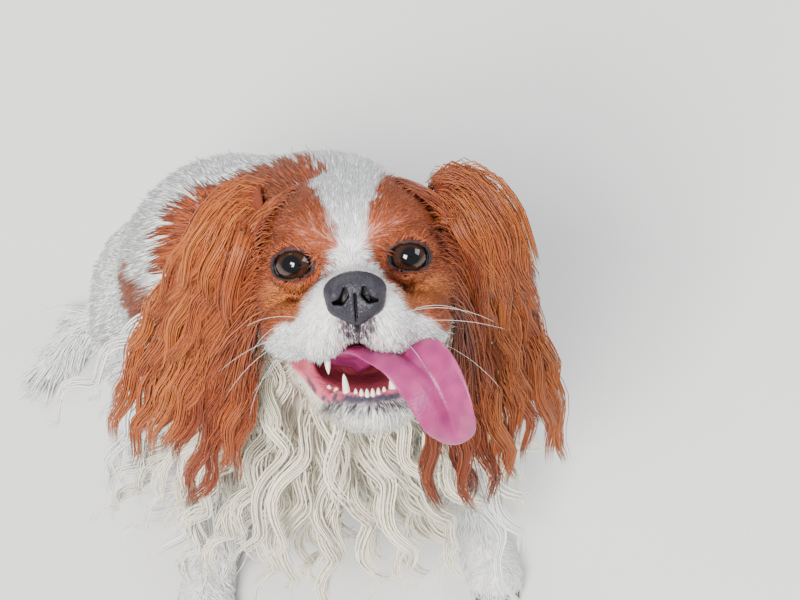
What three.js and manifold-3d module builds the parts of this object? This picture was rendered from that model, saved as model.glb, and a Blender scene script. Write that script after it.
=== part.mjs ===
// A cavalier king charles spaniel, life size, sitting with its head raised and its tongue out.
// Millimetres, +Z up. The dog faces -Y, and +X is its own left. The origin is where it sits, on the floor.
import * as THREE from "three";
import { mergeVertices } from "three/addons/utils/BufferGeometryUtils.js";
import Module from "manifold-3d";

// Driving dimensions.
const GAP = 0.3; // between touching pieces
const LOCK_GAP = 1.5; // round a lock, whose edges may be drawn together
const SHORTEST_EDGE = 0.15; // shorter edges, left by a cut, are drawn together
const SURE_EDGE = 0.02; // an edge so short that it is drawn together in every case
const FACE_EDGE = 1.6; // shortest edge left in the cuts of the face
const LOCK_EDGE = 3; // shortest edge left where locks meet each other
const WITHERS = 312; // height of the withers of the sitting dog
const HIP_HEIGHT = 88;
const ELBOW_HEIGHT = 134;
const WRIST_HEIGHT = 52;
const EYE_HEIGHT = 430; // middle of the eyes, with the head raised
const EYE_SPACING = 58; // between the centres of the eyeballs
const EYE_RADIUS = 11.5;
const MUZZLE = 44; // from the eyes to the tip of the nose
const PELVIS_YAW = 15; // degrees, towards the dog's left
const CHEST_YAW = -20;
const HEAD_YAW = -27;
const HEAD_PITCH = 51; // raised
const HEAD_ROLL = -4;
const GAZE_OUT = 9; // each eye looks this far out to its side
const EYE_DEPTH = 5; // the eyeballs' centres lie this far behind the middle of the eyes
const LID_THICK = 2.2;
const TONGUE_WIDTH = 36;
const TONGUE_THICK = 3.4; // half of it
const EAR_THICK = 6;

// Mesh cells: the head and the paws are finer than the trunk and the legs.
const HEAD_CELL = 9;
const PAW_CELL = 11;
const LEG_CELL = 17;
const TRUNK_CELL = 19;

const wasm = await Module();
wasm.setup();

const vec = (x, y, z) => new THREE.Vector3(x, y, z);
const deg = THREE.MathUtils.degToRad;
const clamp = THREE.MathUtils.clamp;
const lerp = THREE.MathUtils.lerp;
const UP = vec(0, 0, 1);
const DOWN = vec(0, 0, -1);
const SIDES = { left: 1, right: -1 };

// A local frame: x to the dog's left, y backward, z up, turned by yaw, then pitched up and rolled.
function frame(origin, yaw, pitch = 0, roll = 0) {
  const turn = new THREE.Euler(deg(-pitch), deg(roll), deg(yaw), "ZXY");
  return new THREE.Matrix4().makeRotationFromEuler(turn).setPosition(origin);
}

const PELVIS = frame(vec(0, -15, 0), PELVIS_YAW);
const CHEST = frame(vec(50, -141, 0), CHEST_YAW);
const HEAD = frame(vec(24, -238, EYE_HEIGHT), HEAD_YAW, HEAD_PITCH, HEAD_ROLL);
const at = (place, x, y, z) => vec(x, y, z).applyMatrix4(place);
const inPelvis = (x, y, z) => at(PELVIS, x, y, z);
const inChest = (x, y, z) => at(CHEST, x, y, z);
const inHead = (x, y, z) => at(HEAD, x, y, z);
const along = (place, x, y, z) => vec(x, y, z).transformDirection(place);

// Signed distances: each shape is a function of a point, negative inside.
function limb(a, b, ra, rb) {
  const axis = b.clone().sub(a);
  const lengthSq = axis.lengthSq();
  return (p) => {
    const t = clamp(((p.x - a.x) * axis.x + (p.y - a.y) * axis.y + (p.z - a.z) * axis.z) / lengthSq, 0, 1);
    return Math.hypot(p.x - a.x - t * axis.x, p.y - a.y - t * axis.y, p.z - a.z - t * axis.z) - lerp(ra, rb, t);
  };
}

function ball(place, centre, radii) {
  const inverse = place.clone().invert();
  const q = vec(0, 0, 0);
  return (p) => {
    q.copy(p).applyMatrix4(inverse).sub(centre);
    const k0 = Math.hypot(q.x / radii.x, q.y / radii.y, q.z / radii.z);
    const k1 = Math.hypot(q.x / radii.x ** 2, q.y / radii.y ** 2, q.z / radii.z ** 2);
    return k1 < 1e-9 ? -Math.min(radii.x, radii.y, radii.z) : (k0 * (k0 - 1)) / k1;
  };
}

function blendMin(a, b, k) {
  const h = Math.max(k - Math.abs(a - b), 0) / k;
  return Math.min(a, b) - (h * h * k) / 4;
}

const blend = (k, shapes) => (p) => shapes.reduce((d, s) => blendMin(d, s(p), k), Infinity);
const nearest = (shapes) => (p) => shapes.reduce((d, s) => Math.min(d, s(p)), Infinity);

// The slope of a field, and a point moved along it until the field is at least a clearance.
function slope(field, p) {
  const e = 0.5;
  const d = field(p);
  const rise = (x, y, z) => field(vec(p.x + x, p.y + y, p.z + z)) - d;
  return vec(rise(e, 0, 0), rise(0, e, 0), rise(0, 0, e)).normalize();
}

function clearOf(field, p, clearance) {
  for (let round = 0; round < 6; round++) {
    const d = field(p);
    if (d < clearance) p.addScaledVector(slope(field, p), clearance - d);
  }
  return p;
}

// A closed mesh of the surface where a field is zero, inside a box, with square cells.
function surface(field, [low, high], cell) {
  const n = ["x", "y", "z"].map((axis) => Math.ceil((high[axis] - low[axis]) / cell) + 3);
  const inside = (p) => {
    const out = Math.max(low.x - p.x, p.x - high.x, low.y - p.y, p.y - high.y, low.z - p.z, p.z - high.z);
    return Math.max(field(p), out);
  };
  const corner = (i, j, k) => vec(low.x + (i - 1) * cell, low.y + (j - 1) * cell, low.z + (k - 1) * cell);
  const index = (i, j, k) => (k * n[1] + j) * n[0] + i;
  const value = new Float64Array(n[0] * n[1] * n[2]);
  for (let k = 0; k < n[2]; k++)
    for (let j = 0; j < n[1]; j++)
      for (let i = 0; i < n[0]; i++) value[index(i, j, k)] = inside(corner(i, j, k));
  const positions = [];
  const vertexOf = new Map();
  const steps = [[1, 0, 0], [0, 1, 0], [0, 0, 1]];
  const settle = (p, reach) => {
    const start = p.clone();
    const e = 0.05;
    for (let round = 0; round < 4; round++) {
      const d = inside(p);
      const g = vec(
        inside(vec(p.x + e, p.y, p.z)) - d,
        inside(vec(p.x, p.y + e, p.z)) - d,
        inside(vec(p.x, p.y, p.z + e)) - d,
      ).divideScalar(e);
      p.addScaledVector(g, -d / Math.max(g.lengthSq(), 0.2));
    }
    return p.sub(start).clampLength(0, reach).add(start);
  };
  for (let k = 0; k < n[2] - 1; k++)
    for (let j = 0; j < n[1] - 1; j++)
      for (let i = 0; i < n[0] - 1; i++) {
        const mean = vec(0, 0, 0);
        let crossings = 0;
        for (let c = 0; c < 8; c++)
          steps.forEach(([x, y, z], axis) => {
            if (c & (1 << axis)) return;
            const [a, b, d] = [i + (c & 1), j + ((c >> 1) & 1), k + ((c >> 2) & 1)];
            const v0 = value[index(a, b, d)];
            const v1 = value[index(a + x, b + y, d + z)];
            if (v0 < 0 === v1 < 0) return;
            mean.add(corner(a, b, d).lerp(corner(a + x, b + y, d + z), v0 / (v0 - v1)));
            crossings++;
          });
        if (!crossings) continue;
        vertexOf.set(index(i, j, k), positions.length / 3);
        positions.push(...settle(mean.divideScalar(crossings), cell / 2).toArray());
      }
  const faces = [];
  for (let k = 1; k < n[2] - 1; k++)
    for (let j = 1; j < n[1] - 1; j++)
      for (let i = 1; i < n[0] - 1; i++)
        steps.forEach(([x, y, z], axis) => {
          const v0 = value[index(i, j, k)];
          const v1 = value[index(i + x, j + y, k + z)];
          if (v0 < 0 === v1 < 0) return;
          const u = steps[(axis + 1) % 3];
          const w = steps[(axis + 2) % 3];
          const cellAt = (s, t) =>
            vertexOf.get(index(i - s * u[0] - t * w[0], j - s * u[1] - t * w[1], k - s * u[2] - t * w[2]));
          const [a, b, c, d] = [cellAt(0, 0), cellAt(1, 0), cellAt(1, 1), cellAt(0, 1)];
          if (v0 < 0) faces.push(a, b, c, a, c, d);
          else faces.push(a, c, b, a, d, c);
        });
  return fromArrays(positions, faces);
}

// Solids: a closed triangle mesh that can be joined and cut.
function fromArrays(positions, triangles) {
  const vertProperties = Float32Array.from(positions);
  const triVerts = Uint32Array.from(triangles);
  return new wasm.Manifold(new wasm.Mesh({ numProp: 3, vertProperties, triVerts }));
}

function solid(geometry) {
  const bare = geometry.clone();
  for (const name of ["normal", "uv"]) bare.deleteAttribute(name);
  const merged = mergeVertices(bare, 1e-4);
  return fromArrays(merged.attributes.position.array, merged.index.array);
}

const moved = (geometry, place) => solid(geometry.clone().applyMatrix4(place));
const join = (bodies) => bodies.reduce((sum, body) => sum.add(body));
const without = (body, rooms) => rooms.reduce((rest, room) => rest.subtract(room), body);

// The largest closed surface of a body, with the very short edges that cuts leave drawn together.
function largest(body) {
  const larger = (best, piece) => (piece.volume() > best.volume() ? piece : best);
  return drawnTogether(body.decompose().reduce(larger));
}

// An edge shorter than this is drawn to one end, unless that would fold a triangle over.
function drawnTogether(body, shortest = SHORTEST_EDGE) {
  const mesh = body.getMesh();
  const points = [];
  for (let v = 0; v < mesh.vertProperties.length; v += 3)
    points.push(vec(...mesh.vertProperties.slice(v, v + 3)));
  const normalOf = (a, b, c) => b.clone().sub(a).cross(c.clone().sub(a));
  let triangles = Array.from(mesh.triVerts);
  for (let changed = true; changed; ) {
    changed = false;
    const around = points.map(() => []);
    triangles.forEach((v, i) => around[v].push(i - (i % 3)));
    const cornersOf = (i) => triangles.slice(i, i + 3);
    const neighbours = (v) => new Set(around[v].flatMap(cornersOf).filter((u) => u !== v));
    const busy = new Set();
    const goesTo = new Map();
    const folds = (from, to) =>
      around[from].some((i) => {
        const corners = cornersOf(i);
        if (corners.includes(to)) return false;
        const before = normalOf(...corners.map((u) => points[u]));
        const after = normalOf(...corners.map((u) => points[u === from ? to : u]));
        return after.dot(before) < 0.3 * after.length() * before.length();
      });
    triangles.forEach((v, i) => {
      const w = triangles[i - (i % 3) + ((i + 1) % 3)];
      const length = points[v].distanceTo(points[w]);
      if (length >= shortest || busy.has(v) || busy.has(w)) return;
      const [nearV, nearW] = [neighbours(v), neighbours(w)];
      if ([...nearV].filter((u) => nearW.has(u)).length !== 2) return;
      if ([...nearV, ...nearW].some((u) => busy.has(u))) return;
      const sure = length < SURE_EDGE;
      let [from, to] = [w, v];
      if (!sure && folds(from, to)) {
        [from, to] = [v, w];
        if (folds(from, to)) return;
      }
      [...nearV, ...nearW].forEach((u) => busy.add(u));
      goesTo.set(from, to);
      changed = true;
    });
    const renamed = triangles.map((v) => goesTo.get(v) ?? v);
    triangles = renamed.filter((v, i) => {
      const [a, b, c] = renamed.slice(i - (i % 3), i - (i % 3) + 3);
      return a !== b && b !== c && c !== a;
    });
  }
  const used = [...new Set(triangles)];
  const place = new Map(used.map((v, i) => [v, i]));
  return fromArrays(used.flatMap((v) => points[v].toArray()), triangles.map((v) => place.get(v)));
}

// The same closed surface with every vertex moved out along its normal.
function grown(body, by) {
  const mesh = body.getMesh();
  const skin = new THREE.BufferGeometry()
    .setAttribute("position", new THREE.BufferAttribute(mesh.vertProperties.slice(), 3))
    .setIndex(new THREE.BufferAttribute(mesh.triVerts, 1));
  skin.computeVertexNormals();
  const normals = skin.attributes.normal.array;
  return fromArrays(mesh.vertProperties.map((v, i) => v + normals[i] * by), mesh.triVerts);
}

const HALF_SPACE = 1200; // side of the block that stands for all that lies below a plane
const turnedTo = (axis) =>
  new THREE.Matrix4().makeRotationFromQuaternion(new THREE.Quaternion().setFromUnitVectors(UP, axis));

// What lies below a plane, on the side that its normal points away from, and what lies above it.
function below(body, point, normal) {
  const place = turnedTo(normal).setPosition(point.clone().addScaledVector(normal, -HALF_SPACE / 2));
  return body.intersect(moved(new THREE.BoxGeometry(HALF_SPACE, HALF_SPACE, HALF_SPACE), place));
}

const above = (body, point, normal) =>
  below(body, point.clone().addScaledVector(normal, GAP), normal.clone().negate());
const onFloor = (body) => below(body, vec(0, 0, 0), DOWN);

// An ellipsoid in a local frame, and a cone from one point to another.
function pebble(place, centre, radii, around = 14, rows = 10) {
  const form = new THREE.SphereGeometry(1, around, rows).scale(radii.x, radii.y, radii.z);
  return moved(form.translate(centre.x, centre.y, centre.z), place);
}

function spike(from, to, radius, sides = 6) {
  const axis = to.clone().sub(from);
  const form = new THREE.ConeGeometry(radius, axis.length(), sides).rotateX(Math.PI / 2);
  const middle = from.clone().lerp(to, 0.5);
  return moved(form, turnedTo(axis.normalize()).setPosition(middle));
}

// Flesh, as fields. The trunk runs from the pelvis up the back to the chest and the neck.
const trunkField = blend(26, [
  ball(PELVIS, vec(0, 14, 76), vec(68, 64, 86)),
  limb(inPelvis(0, 0, HIP_HEIGHT + 22), inPelvis(10, -50, 186), 68, 76),
  limb(inPelvis(10, -50, 186), inChest(0, 34, WITHERS - 84), 76, 72),
  limb(inChest(0, 34, WITHERS - 84), inChest(0, -22, WITHERS - 92), 72, 66),
  ball(CHEST, vec(0, -54, WITHERS - 96), vec(62, 42, 60)),
  limb(inChest(0, -10, WITHERS - 40), inHead(0, 62, -34), 56, 42),
]);

// Skull, brows, cheeks, jowls, flews and the bridge of the nose.
const headField = blend(12, [
  ball(HEAD, vec(0, 46, 6), vec(50, 54, 40)),
  ...[1, -1].flatMap((side) => [
    ball(HEAD, vec(17 * side, 14, 16), vec(20, 20, 14)),
    ball(HEAD, vec(36 * side, 38, -18), vec(20, 30, 26)),
    ball(HEAD, vec(30 * side, 45, -38), vec(20, 20, 20)),
    ball(HEAD, vec(15 * side, -24, -29), vec(16, 16, 15)),
    ball(HEAD, vec(33 * side, -2, -33), vec(16, 22, 14)),
  ]),
  ball(HEAD, vec(0, -14, -20), vec(25, 30, 17)),
]);

const jawField = blend(12, [
  ball(HEAD, vec(0, -12, -76), vec(19, 16, 13)),
  limb(inHead(28, 40, -58), inHead(9, -6, -72), 14, 12),
  limb(inHead(-28, 40, -58), inHead(-9, -6, -72), 14, 12),
  ball(HEAD, vec(0, 22, -76), vec(30, 34, 14)),
]);

function toes(place, x, y, z, spacing, radii) {
  const middle = (k) => vec(x + spacing * k, y + 4 * Math.abs(k), z);
  return [-1.5, -0.5, 0.5, 1.5].map((k) => ball(place, middle(k), radii));
}

const legFields = {};
for (const [name, side] of Object.entries(SIDES)) {
  legFields["foreleg_" + name] = blend(14, [
    limb(inChest(44 * side, -44, WITHERS - 80), inChest(62 * side, -18, 162), 32, 25),
    limb(inChest(62 * side, -18, 162), inChest(84 * side, -56, 62), 23, 17),
    limb(inChest(84 * side, -56, 62), inChest(95 * side, -72, 18), 17, 17),
  ]);
  legFields["forepaw_" + name] = blend(8, [
    limb(inChest(84 * side, -56, 62), inChest(95 * side, -72, 18), 17, 17),
    ball(CHEST, vec(101 * side, -88, 13), vec(21, 26, 16)),
    ...toes(CHEST, 102 * side, -104, 9, 9.5, vec(7, 12, 11)),
  ]);
  legFields["thigh_" + name] = blend(20, [
    limb(inPelvis(32 * side, 2, HIP_HEIGHT), inPelvis(62 * side, -84, 110), 48, 29),
    ball(PELVIS, vec(46 * side, -34, 76), vec(36, 60, 58)),
  ]);
  legFields["hind_leg_" + name] = blend(12, [
    limb(inPelvis(62 * side, -84, 104), inPelvis(66 * side, -4, 24), 26, 19),
    limb(inPelvis(66 * side, -4, 20), inPelvis(69 * side, -60, 14), 17, 15),
  ]);
  legFields["hind_paw_" + name] = blend(8, [
    limb(inPelvis(66 * side, -4, 20), inPelvis(69 * side, -60, 14), 17, 15),
    ball(PELVIS, vec(70 * side, -78, 12), vec(19, 26, 14)),
    ...toes(PELVIS, 70 * side, -94, 8, 8.5, vec(6.5, 12, 10)),
  ]);
}

// The tail lies on the floor and sweeps round to the dog's right.
const TAIL = [
  inPelvis(0, 44, 44), inPelvis(-20, 74, 20), vec(-56, 56, 14), vec(-80, 46, 12), vec(-100, 38, 10),
];
const tailField = blend(8, TAIL.slice(1).map((p, i) => limb(TAIL[i], p, 17 - 2.2 * i, 15 - 2.2 * i)));
const flesh = nearest([trunkField, headField, jawField, tailField, ...Object.values(legFields)]);

// A lock of long hair: its path starts sunk in the flesh, follows the lie of the coat, sags and waves.
const ROOT_DEPTH = 5;
const LOCK_BENDS = 4;
const draw = seeded(7);

function seeded(seed) {
  let state = seed;
  return (from = 0, to = 1) => {
    state = (state * 1103515245 + 12345) % 2147483648;
    return lerp(from, to, state / 2147483648);
  };
}

function lockPath({ root, lie, length, lift, sag, wave, clearance = 3, floor = 3 }) {
  const out = slope(flesh, root);
  const heading = lie.clone().addScaledVector(out, lift).normalize();
  const sideways = heading.clone().cross(out).normalize();
  const phase = draw(0, 6);
  const step = length / LOCK_BENDS;
  const path = [root.clone().addScaledVector(out, -ROOT_DEPTH)];
  const p = root.clone();
  for (let i = 1; i <= LOCK_BENDS; i++) {
    heading.addScaledVector(UP, -sag / LOCK_BENDS).normalize();
    const sway = wave * Math.cos(phase + 2 * i);
    p.addScaledVector(heading, step).addScaledVector(sideways, sway * step);
    clearOf(flesh, p, i === LOCK_BENDS ? clearance / 2 : clearance);
    p.z = Math.max(p.z, floor);
    path.push(p.clone());
  }
  return path;
}

// The lock's solid: a flat three-sided section with a low ridge, widest near its middle, ending in a point.
function lockSolid({ path, width, thick }, grow = 0) {
  const rings = path.length - 1;
  const points = [];
  for (let i = 0; i < rings; i++) {
    const tangent = path[i + 1].clone().sub(path[Math.max(i - 1, 0)]).normalize();
    const rise = slope(flesh, path[i]);
    rise.addScaledVector(tangent, -rise.dot(tangent)).normalize();
    const across = tangent.clone().cross(rise);
    const t = i / rings;
    const half = (width / 2) * (0.72 + 0.75 * t) * Math.sqrt(1 - t) + grow * 1.5;
    const ridge = thick * (0.75 - 0.4 * t) + grow * 1.5;
    const base = -(thick * 0.25 + grow);
    points.push(path[i].clone().addScaledVector(across, half).addScaledVector(rise, base));
    points.push(path[i].clone().addScaledVector(rise, ridge));
    points.push(path[i].clone().addScaledVector(across, -half).addScaledVector(rise, base));
  }
  const tip = path[rings].clone();
  points.push(tip.addScaledVector(tip.clone().sub(path[rings - 1]).normalize(), grow * 2));
  const faces = [0, 2, 1];
  for (let i = 0; i < rings - 1; i++)
    for (let k = 0; k < 3; k++) {
      const [a, b] = [3 * i + k, 3 * i + ((k + 1) % 3)];
      faces.push(a, b, b + 3, a, b + 3, a + 3);
    }
  const last = 3 * (rings - 1);
  for (let k = 0; k < 3; k++) faces.push(last + k, last + ((k + 1) % 3), last + 3);
  return fromArrays(points.flatMap((q) => q.toArray()), mirrored(faces));
}

function mirrored(faces) {
  return faces.map((v, i) => faces[i - (i % 3) + [0, 2, 1][i % 3]]);
}

const solids = (locks, grow = 0) => join(locks.map((lock) => lockSolid(lock, grow)));
const withLocks = (body, locks) => drawnTogether(body.add(solids(locks)), LOCK_EDGE);

// The point of a field's surface that a ray meets from inside.
function surfacePoint(field, from, direction) {
  const p = from.clone();
  for (let i = 0; i < 60 && field(p) < -0.05; i++) p.addScaledVector(direction, -field(p) * 0.8);
  return p;
}

// The ruff hangs in rows from the throat to the breast, over the tops of the forelegs.
function ruff() {
  const locks = [];
  const rows = [[336, 5], [306, 6], [274, 7], [242, 8], [208, 8], [174, 6]];
  rows.forEach(([z, count], row) => {
    const long = row > 2;
    const spread = long ? 98 : 92;
    for (let k = 0; k < count; k++) {
      const turn = deg(lerp(-spread, spread, (k + (row % 2 ? 0.3 : 0.7)) / count) + draw(-4, 4));
      const axis = inChest(0, -20, z + draw(-5, 5));
      const direction = along(CHEST, Math.sin(turn), -Math.cos(turn), row > 4 ? -0.5 : 0);
      const root = surfacePoint(trunkField, axis, direction);
      const width = draw(26, 34);
      const length = long ? draw(88, 112) : draw(66, 88);
      const lift = long ? 1.1 : 0.5;
      const path = lockPath({ root, lie: DOWN, length, lift, sag: 0.7, wave: 0.3, clearance: 8 });
      locks.push({ path, width, thick: width * 0.4 });
    }
  });
  return locks;
}

// Feathering down the back of each foreleg.
function forelegFeather(name, side) {
  const locks = [];
  const count = 6;
  for (let k = 0; k < count; k++) {
    const t = k / (count - 1);
    const axis = inChest(69 * side, -30, 128).lerp(inChest(84 * side, -56, 62), t);
    const turn = deg(k % 2 ? 28 : -28);
    const direction = along(CHEST, side * Math.sin(turn), Math.cos(turn), -0.1);
    const root = surfacePoint(legFields["foreleg_" + name], axis, direction);
    const length = draw(42, 54) * (1 - 0.3 * t);
    const path = lockPath({ root, lie: DOWN, length, lift: 0.75, sag: 0.7, wave: 0.2 });
    locks.push({ path, width: draw(15, 19), thick: 6 });
  }
  return locks;
}

// Long hair on the back of each thigh, down to the floor.
function breeches(name, side) {
  const locks = [];
  const perRow = 4;
  for (let k = 0; k < 2 * perRow; k++) {
    const turn = deg(lerp(5, 62, (k % perRow) / (perRow - 1)) + draw(-5, 5));
    const axis = inPelvis(44 * side, -28, k < perRow ? 92 : 58);
    const direction = along(PELVIS, side * Math.sin(turn), Math.cos(turn), 0);
    const root = surfacePoint(legFields["thigh_" + name], axis, direction);
    const path = lockPath({ root, lie: DOWN, length: draw(38, 50), lift: 0.3, sag: 0.6, wave: 0.2 });
    locks.push({ path, width: draw(17, 22), thick: 7 });
  }
  return locks;
}

// The tail's plume: hair to both sides and past the tip, lying on the floor.
function plume() {
  const locks = [];
  const count = 18;
  const line = new THREE.CatmullRomCurve3(TAIL);
  for (let k = 0; k < count; k++) {
    const t = lerp(0.2, 0.97, k / (count - 1));
    const tangent = line.getTangent(t);
    const across = tangent.clone().cross(UP).normalize().multiplyScalar(k % 2 ? 1 : -1);
    const lie = tangent.clone().addScaledVector(across, lerp(0.9, 0.35, t) * draw(0.8, 1.1));
    const direction = across.clone().addScaledVector(UP, draw(0.1, 0.8)).normalize();
    const root = surfacePoint(tailField, line.getPoint(t), direction);
    const path = lockPath({ root, lie, length: draw(36, 46), lift: 0.15, sag: 0.5, wave: 0.16, floor: 4 });
    locks.push({ path, width: draw(15, 19), thick: 6 });
  }
  return locks;
}

const nodes = {};

// Trunk, neck and head are one surface, parted by planes at the loin, the shoulders and the throat.
const trunk = surface(trunkField, [vec(-170, -340, -30), vec(190, 130, 400)], TRUNK_CELL);
const trunkRoom = grown(trunk, GAP);
const NECK_TOP = vec(0, 0, 352);
const NECK_BASE = inChest(0, 45, WITHERS - 12);
const neckLie = along(CHEST, 0, 0.34, 0.94);
const LOIN = inPelvis(20, -90, 185);
const loinLie = inChest(0, 30, 215).sub(inPelvis(0, 0, 92)).normalize();
const ruffLocks = ruff();
const ruffRoom = solids(ruffLocks, LOCK_GAP);
const withoutNeck = below(trunk, NECK_BASE, neckLie);

// The chest bears the tops of the forelegs, under the ruff.
const LEG_BOX = [vec(-230, -420, -30), vec(250, 150, 320)];
const elbow = vec(0, 0, ELBOW_HEIGHT);
const forelegs = {};
for (const name of Object.keys(SIDES)) forelegs[name] = surface(legFields["foreleg_" + name], LEG_BOX, LEG_CELL);
const upperArms = Object.values(forelegs).map((leg) => above(leg, elbow, UP));
const chestWithRuff = withLocks(join([above(withoutNeck, LOIN, loinLie), ...upperArms]), ruffLocks);
const chestRooms = [grown(chestWithRuff, GAP), chestWithRuff];
const armRooms = upperArms.map((arm) => grown(arm, LOCK_GAP));
nodes.torso = largest(without(onFloor(below(withoutNeck, LOIN, loinLie)), [ruffRoom, ...armRooms]));

// Each leg is parted from its paw at the wrist or the hock, and cut clear of the trunk.
function addHindLeg(name, side) {
  const hock = inPelvis(68 * side, -30, 17);
  const hockLie = inPelvis(69 * side, -60, 14).sub(inPelvis(66 * side, -4, 20)).normalize();
  const thigh = surface(legFields["thigh_" + name], LEG_BOX, LEG_CELL);
  const leg = surface(legFields["hind_leg_" + name], LEG_BOX, LEG_CELL);
  const paw = surface(legFields["hind_paw_" + name], LEG_BOX, PAW_CELL);
  const thighRoom = grown(thigh, GAP);
  const legRoom = join([grown(leg, GAP), grown(paw, GAP)]);
  const keep = trunkRoom.add(thighRoom);
  const thighWithLocks = onFloor(withLocks(thigh, breeches(name, side)));
  nodes["hind_leg_" + name] = largest(onFloor(below(leg, hock, hockLie)).subtract(keep));
  nodes["hind_paw_" + name] = largest(onFloor(above(paw, hock, hockLie)).subtract(keep));
  const thighRooms = [legRoom.subtract(thigh), trunkRoom, ruffRoom, ...armRooms];
  nodes["thigh_" + name] = largest(without(thighWithLocks, thighRooms));
  return [grown(thighWithLocks, GAP), thighWithLocks, legRoom];
}

function addForeleg(name, side, hindRooms) {
  const wrist = inChest(0, 0, WRIST_HEIGHT);
  const leg = above(below(forelegs[name], elbow, UP), wrist, UP);
  const paw = surface(legFields["forepaw_" + name], LEG_BOX, PAW_CELL);
  const feathered = above(withLocks(leg, forelegFeather(name, side)), wrist, UP);
  nodes["foreleg_" + name] = largest(without(feathered, [trunkRoom, ...chestRooms, ...hindRooms]));
  nodes["forepaw_" + name] = largest(onFloor(below(paw, wrist, UP)));
}

const hindRooms = Object.entries(SIDES).flatMap(([name, side]) => addHindLeg(name, side));
for (const [name, side] of Object.entries(SIDES)) addForeleg(name, side, hindRooms);
const tail = surface(tailField, [vec(-200, 0, -30), vec(60, 150, 100)], LEG_CELL);
nodes.tail = largest(without(onFloor(withLocks(tail, plume())), [trunkRoom, ...hindRooms]));

// Eyes: each ball stands in a lidded socket whose opening is an oval slanted a little outward.
function eyePlace(side) {
  const gaze = new THREE.Matrix4().makeRotationZ(deg(GAZE_OUT * side));
  return HEAD.clone().multiply(gaze.setPosition((EYE_SPACING / 2) * side, EYE_DEPTH, 0));
}
const eyeball = (side, radius) => pebble(eyePlace(side), vec(0, 0, 0), vec(radius, radius, radius), 12, 8);

function eyeOpening(side) {
  const rod = new THREE.CylinderGeometry(1, 1, 30, 12).scale(10.6, 1, 7.6).translate(0, -15, -0.4);
  const slant = new THREE.Matrix4().makeRotationY(deg(7 * side));
  return moved(rod, eyePlace(side).multiply(slant));
}

// Canines, premolars and lower incisors, each from its root in the gum to its tip.
function upperTeeth() {
  return [1, -1].flatMap((side) => [
    spike(inHead(17 * side, -20, -38), inHead(16.5 * side, -21, -55), 3.2),
    spike(inHead(22 * side, -9, -38), inHead(22 * side, -9, -51), 3.4, 5),
    spike(inHead(25 * side, 1, -38), inHead(25 * side, 1, -51), 3.4, 5),
  ]);
}

function lowerTeeth() {
  const incisor = (k) =>
    spike(inHead(3.4 * k, -21 + 0.5 * k * k, -70), inHead(3.4 * k, -22.5 + 0.5 * k * k, -60), 2, 5);
  const sideTeeth = [1, -1].flatMap((side) => [
    spike(inHead(13 * side, -15, -70), inHead(14 * side, -17, -53), 3.2),
    spike(inHead(17 * side, -4, -72), inHead(17.5 * side, -4, -58), 3.2, 5),
    spike(inHead(20 * side, 6, -72), inHead(20.5 * side, 6, -58), 3.2, 5),
  ]);
  return [...sideTeeth, ...[-2.5, -1.5, -0.5, 0.5, 1.5, 2.5].map(incisor)];
}

// The tongue lies over the left of the lower lip and hangs, with a groove along its middle.
const TONGUE = [
  [-2, 26, -60], [0, 8, -57], [6, -8, -53], [15, -22, -52], [24, -32, -56],
  [32, -37, -66], [39, -36, -79], [44, -30, -91], [46, -23, -98],
];

function tongueRing(line, t, around) {
  const tangent = line.getTangent(t);
  const left = along(HEAD, 1, 0, 0);
  const across = left.addScaledVector(tangent, -left.dot(tangent)).normalize();
  const top = across.clone().cross(tangent).normalize();
  const half = (TONGUE_WIDTH / 2) * Math.sqrt(Math.max(1 - (Math.abs(t - 0.4) / 0.62) ** 3, 0.1));
  return Array.from({ length: around }, (_, k) => {
    const turn = (2 * Math.PI * k) / around;
    const groove = 1.6 * Math.exp(-((Math.cos(turn) / 0.3) ** 2)) * (Math.sin(turn) > 0 ? 1 : -1);
    const p = line.getPoint(t).addScaledVector(across, half * Math.cos(turn));
    return p.addScaledVector(top, TONGUE_THICK * Math.sin(turn) - groove);
  });
}

function tongue() {
  const line = new THREE.CatmullRomCurve3(TONGUE.map((q) => inHead(...q)));
  const [rings, around] = [12, 10];
  const points = Array.from({ length: rings }, (_, i) => tongueRing(line, i / (rings - 1), around)).flat();
  const faces = [];
  for (let i = 0; i < rings - 1; i++)
    for (let k = 0; k < around; k++) {
      const [a, b] = [i * around + k, i * around + ((k + 1) % around)];
      faces.push(a, b, b + around, a, b + around, a + around);
    }
  const last = (rings - 1) * around;
  for (let k = 1; k < around - 1; k++) faces.push(0, k + 1, k, last, last + k, last + k + 1);
  return fromArrays(points.flatMap((q) => q.toArray()), mirrored(faces));
}

// Head with sockets, lids, open mouth, nose, nostrils and the groove under the nose.
const HEAD_BOX = [vec(-110, -360, 310), vec(160, -100, 520)];
const JAW_BOX = [vec(-110, -360, 290), vec(160, -100, 490)];
const mouthHollow = pebble(HEAD, vec(0, 4, -55), vec(29, 38, 14), 14, 8);

function skull() {
  let body = above(surface(blend(12, [headField, trunkField]), HEAD_BOX, HEAD_CELL), NECK_TOP, UP);
  for (const side of [1, -1]) body = body.add(eyeball(side, EYE_RADIUS + LID_THICK)).subtract(eyeOpening(side));
  const philtrum = pebble(HEAD, vec(0, -42, -33), vec(1.6, 9, 13), 8, 8);
  body = drawnTogether(body.subtract(mouthHollow).subtract(philtrum), FACE_EDGE);
  for (const side of [1, -1]) body = body.subtract(eyeball(side, EYE_RADIUS + GAP));
  return body;
}

function nosePad() {
  const pad = pebble(HEAD, vec(0, -MUZZLE + 6, -13), vec(15.5, 8.5, 11.5), 12, 8);
  const nostril = (side) => pebble(HEAD, vec(7.2 * side, -MUZZLE - 3, -13), vec(3.6, 7, 3.2), 6, 5);
  return pad.subtract(nostril(1)).subtract(nostril(-1));
}

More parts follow.
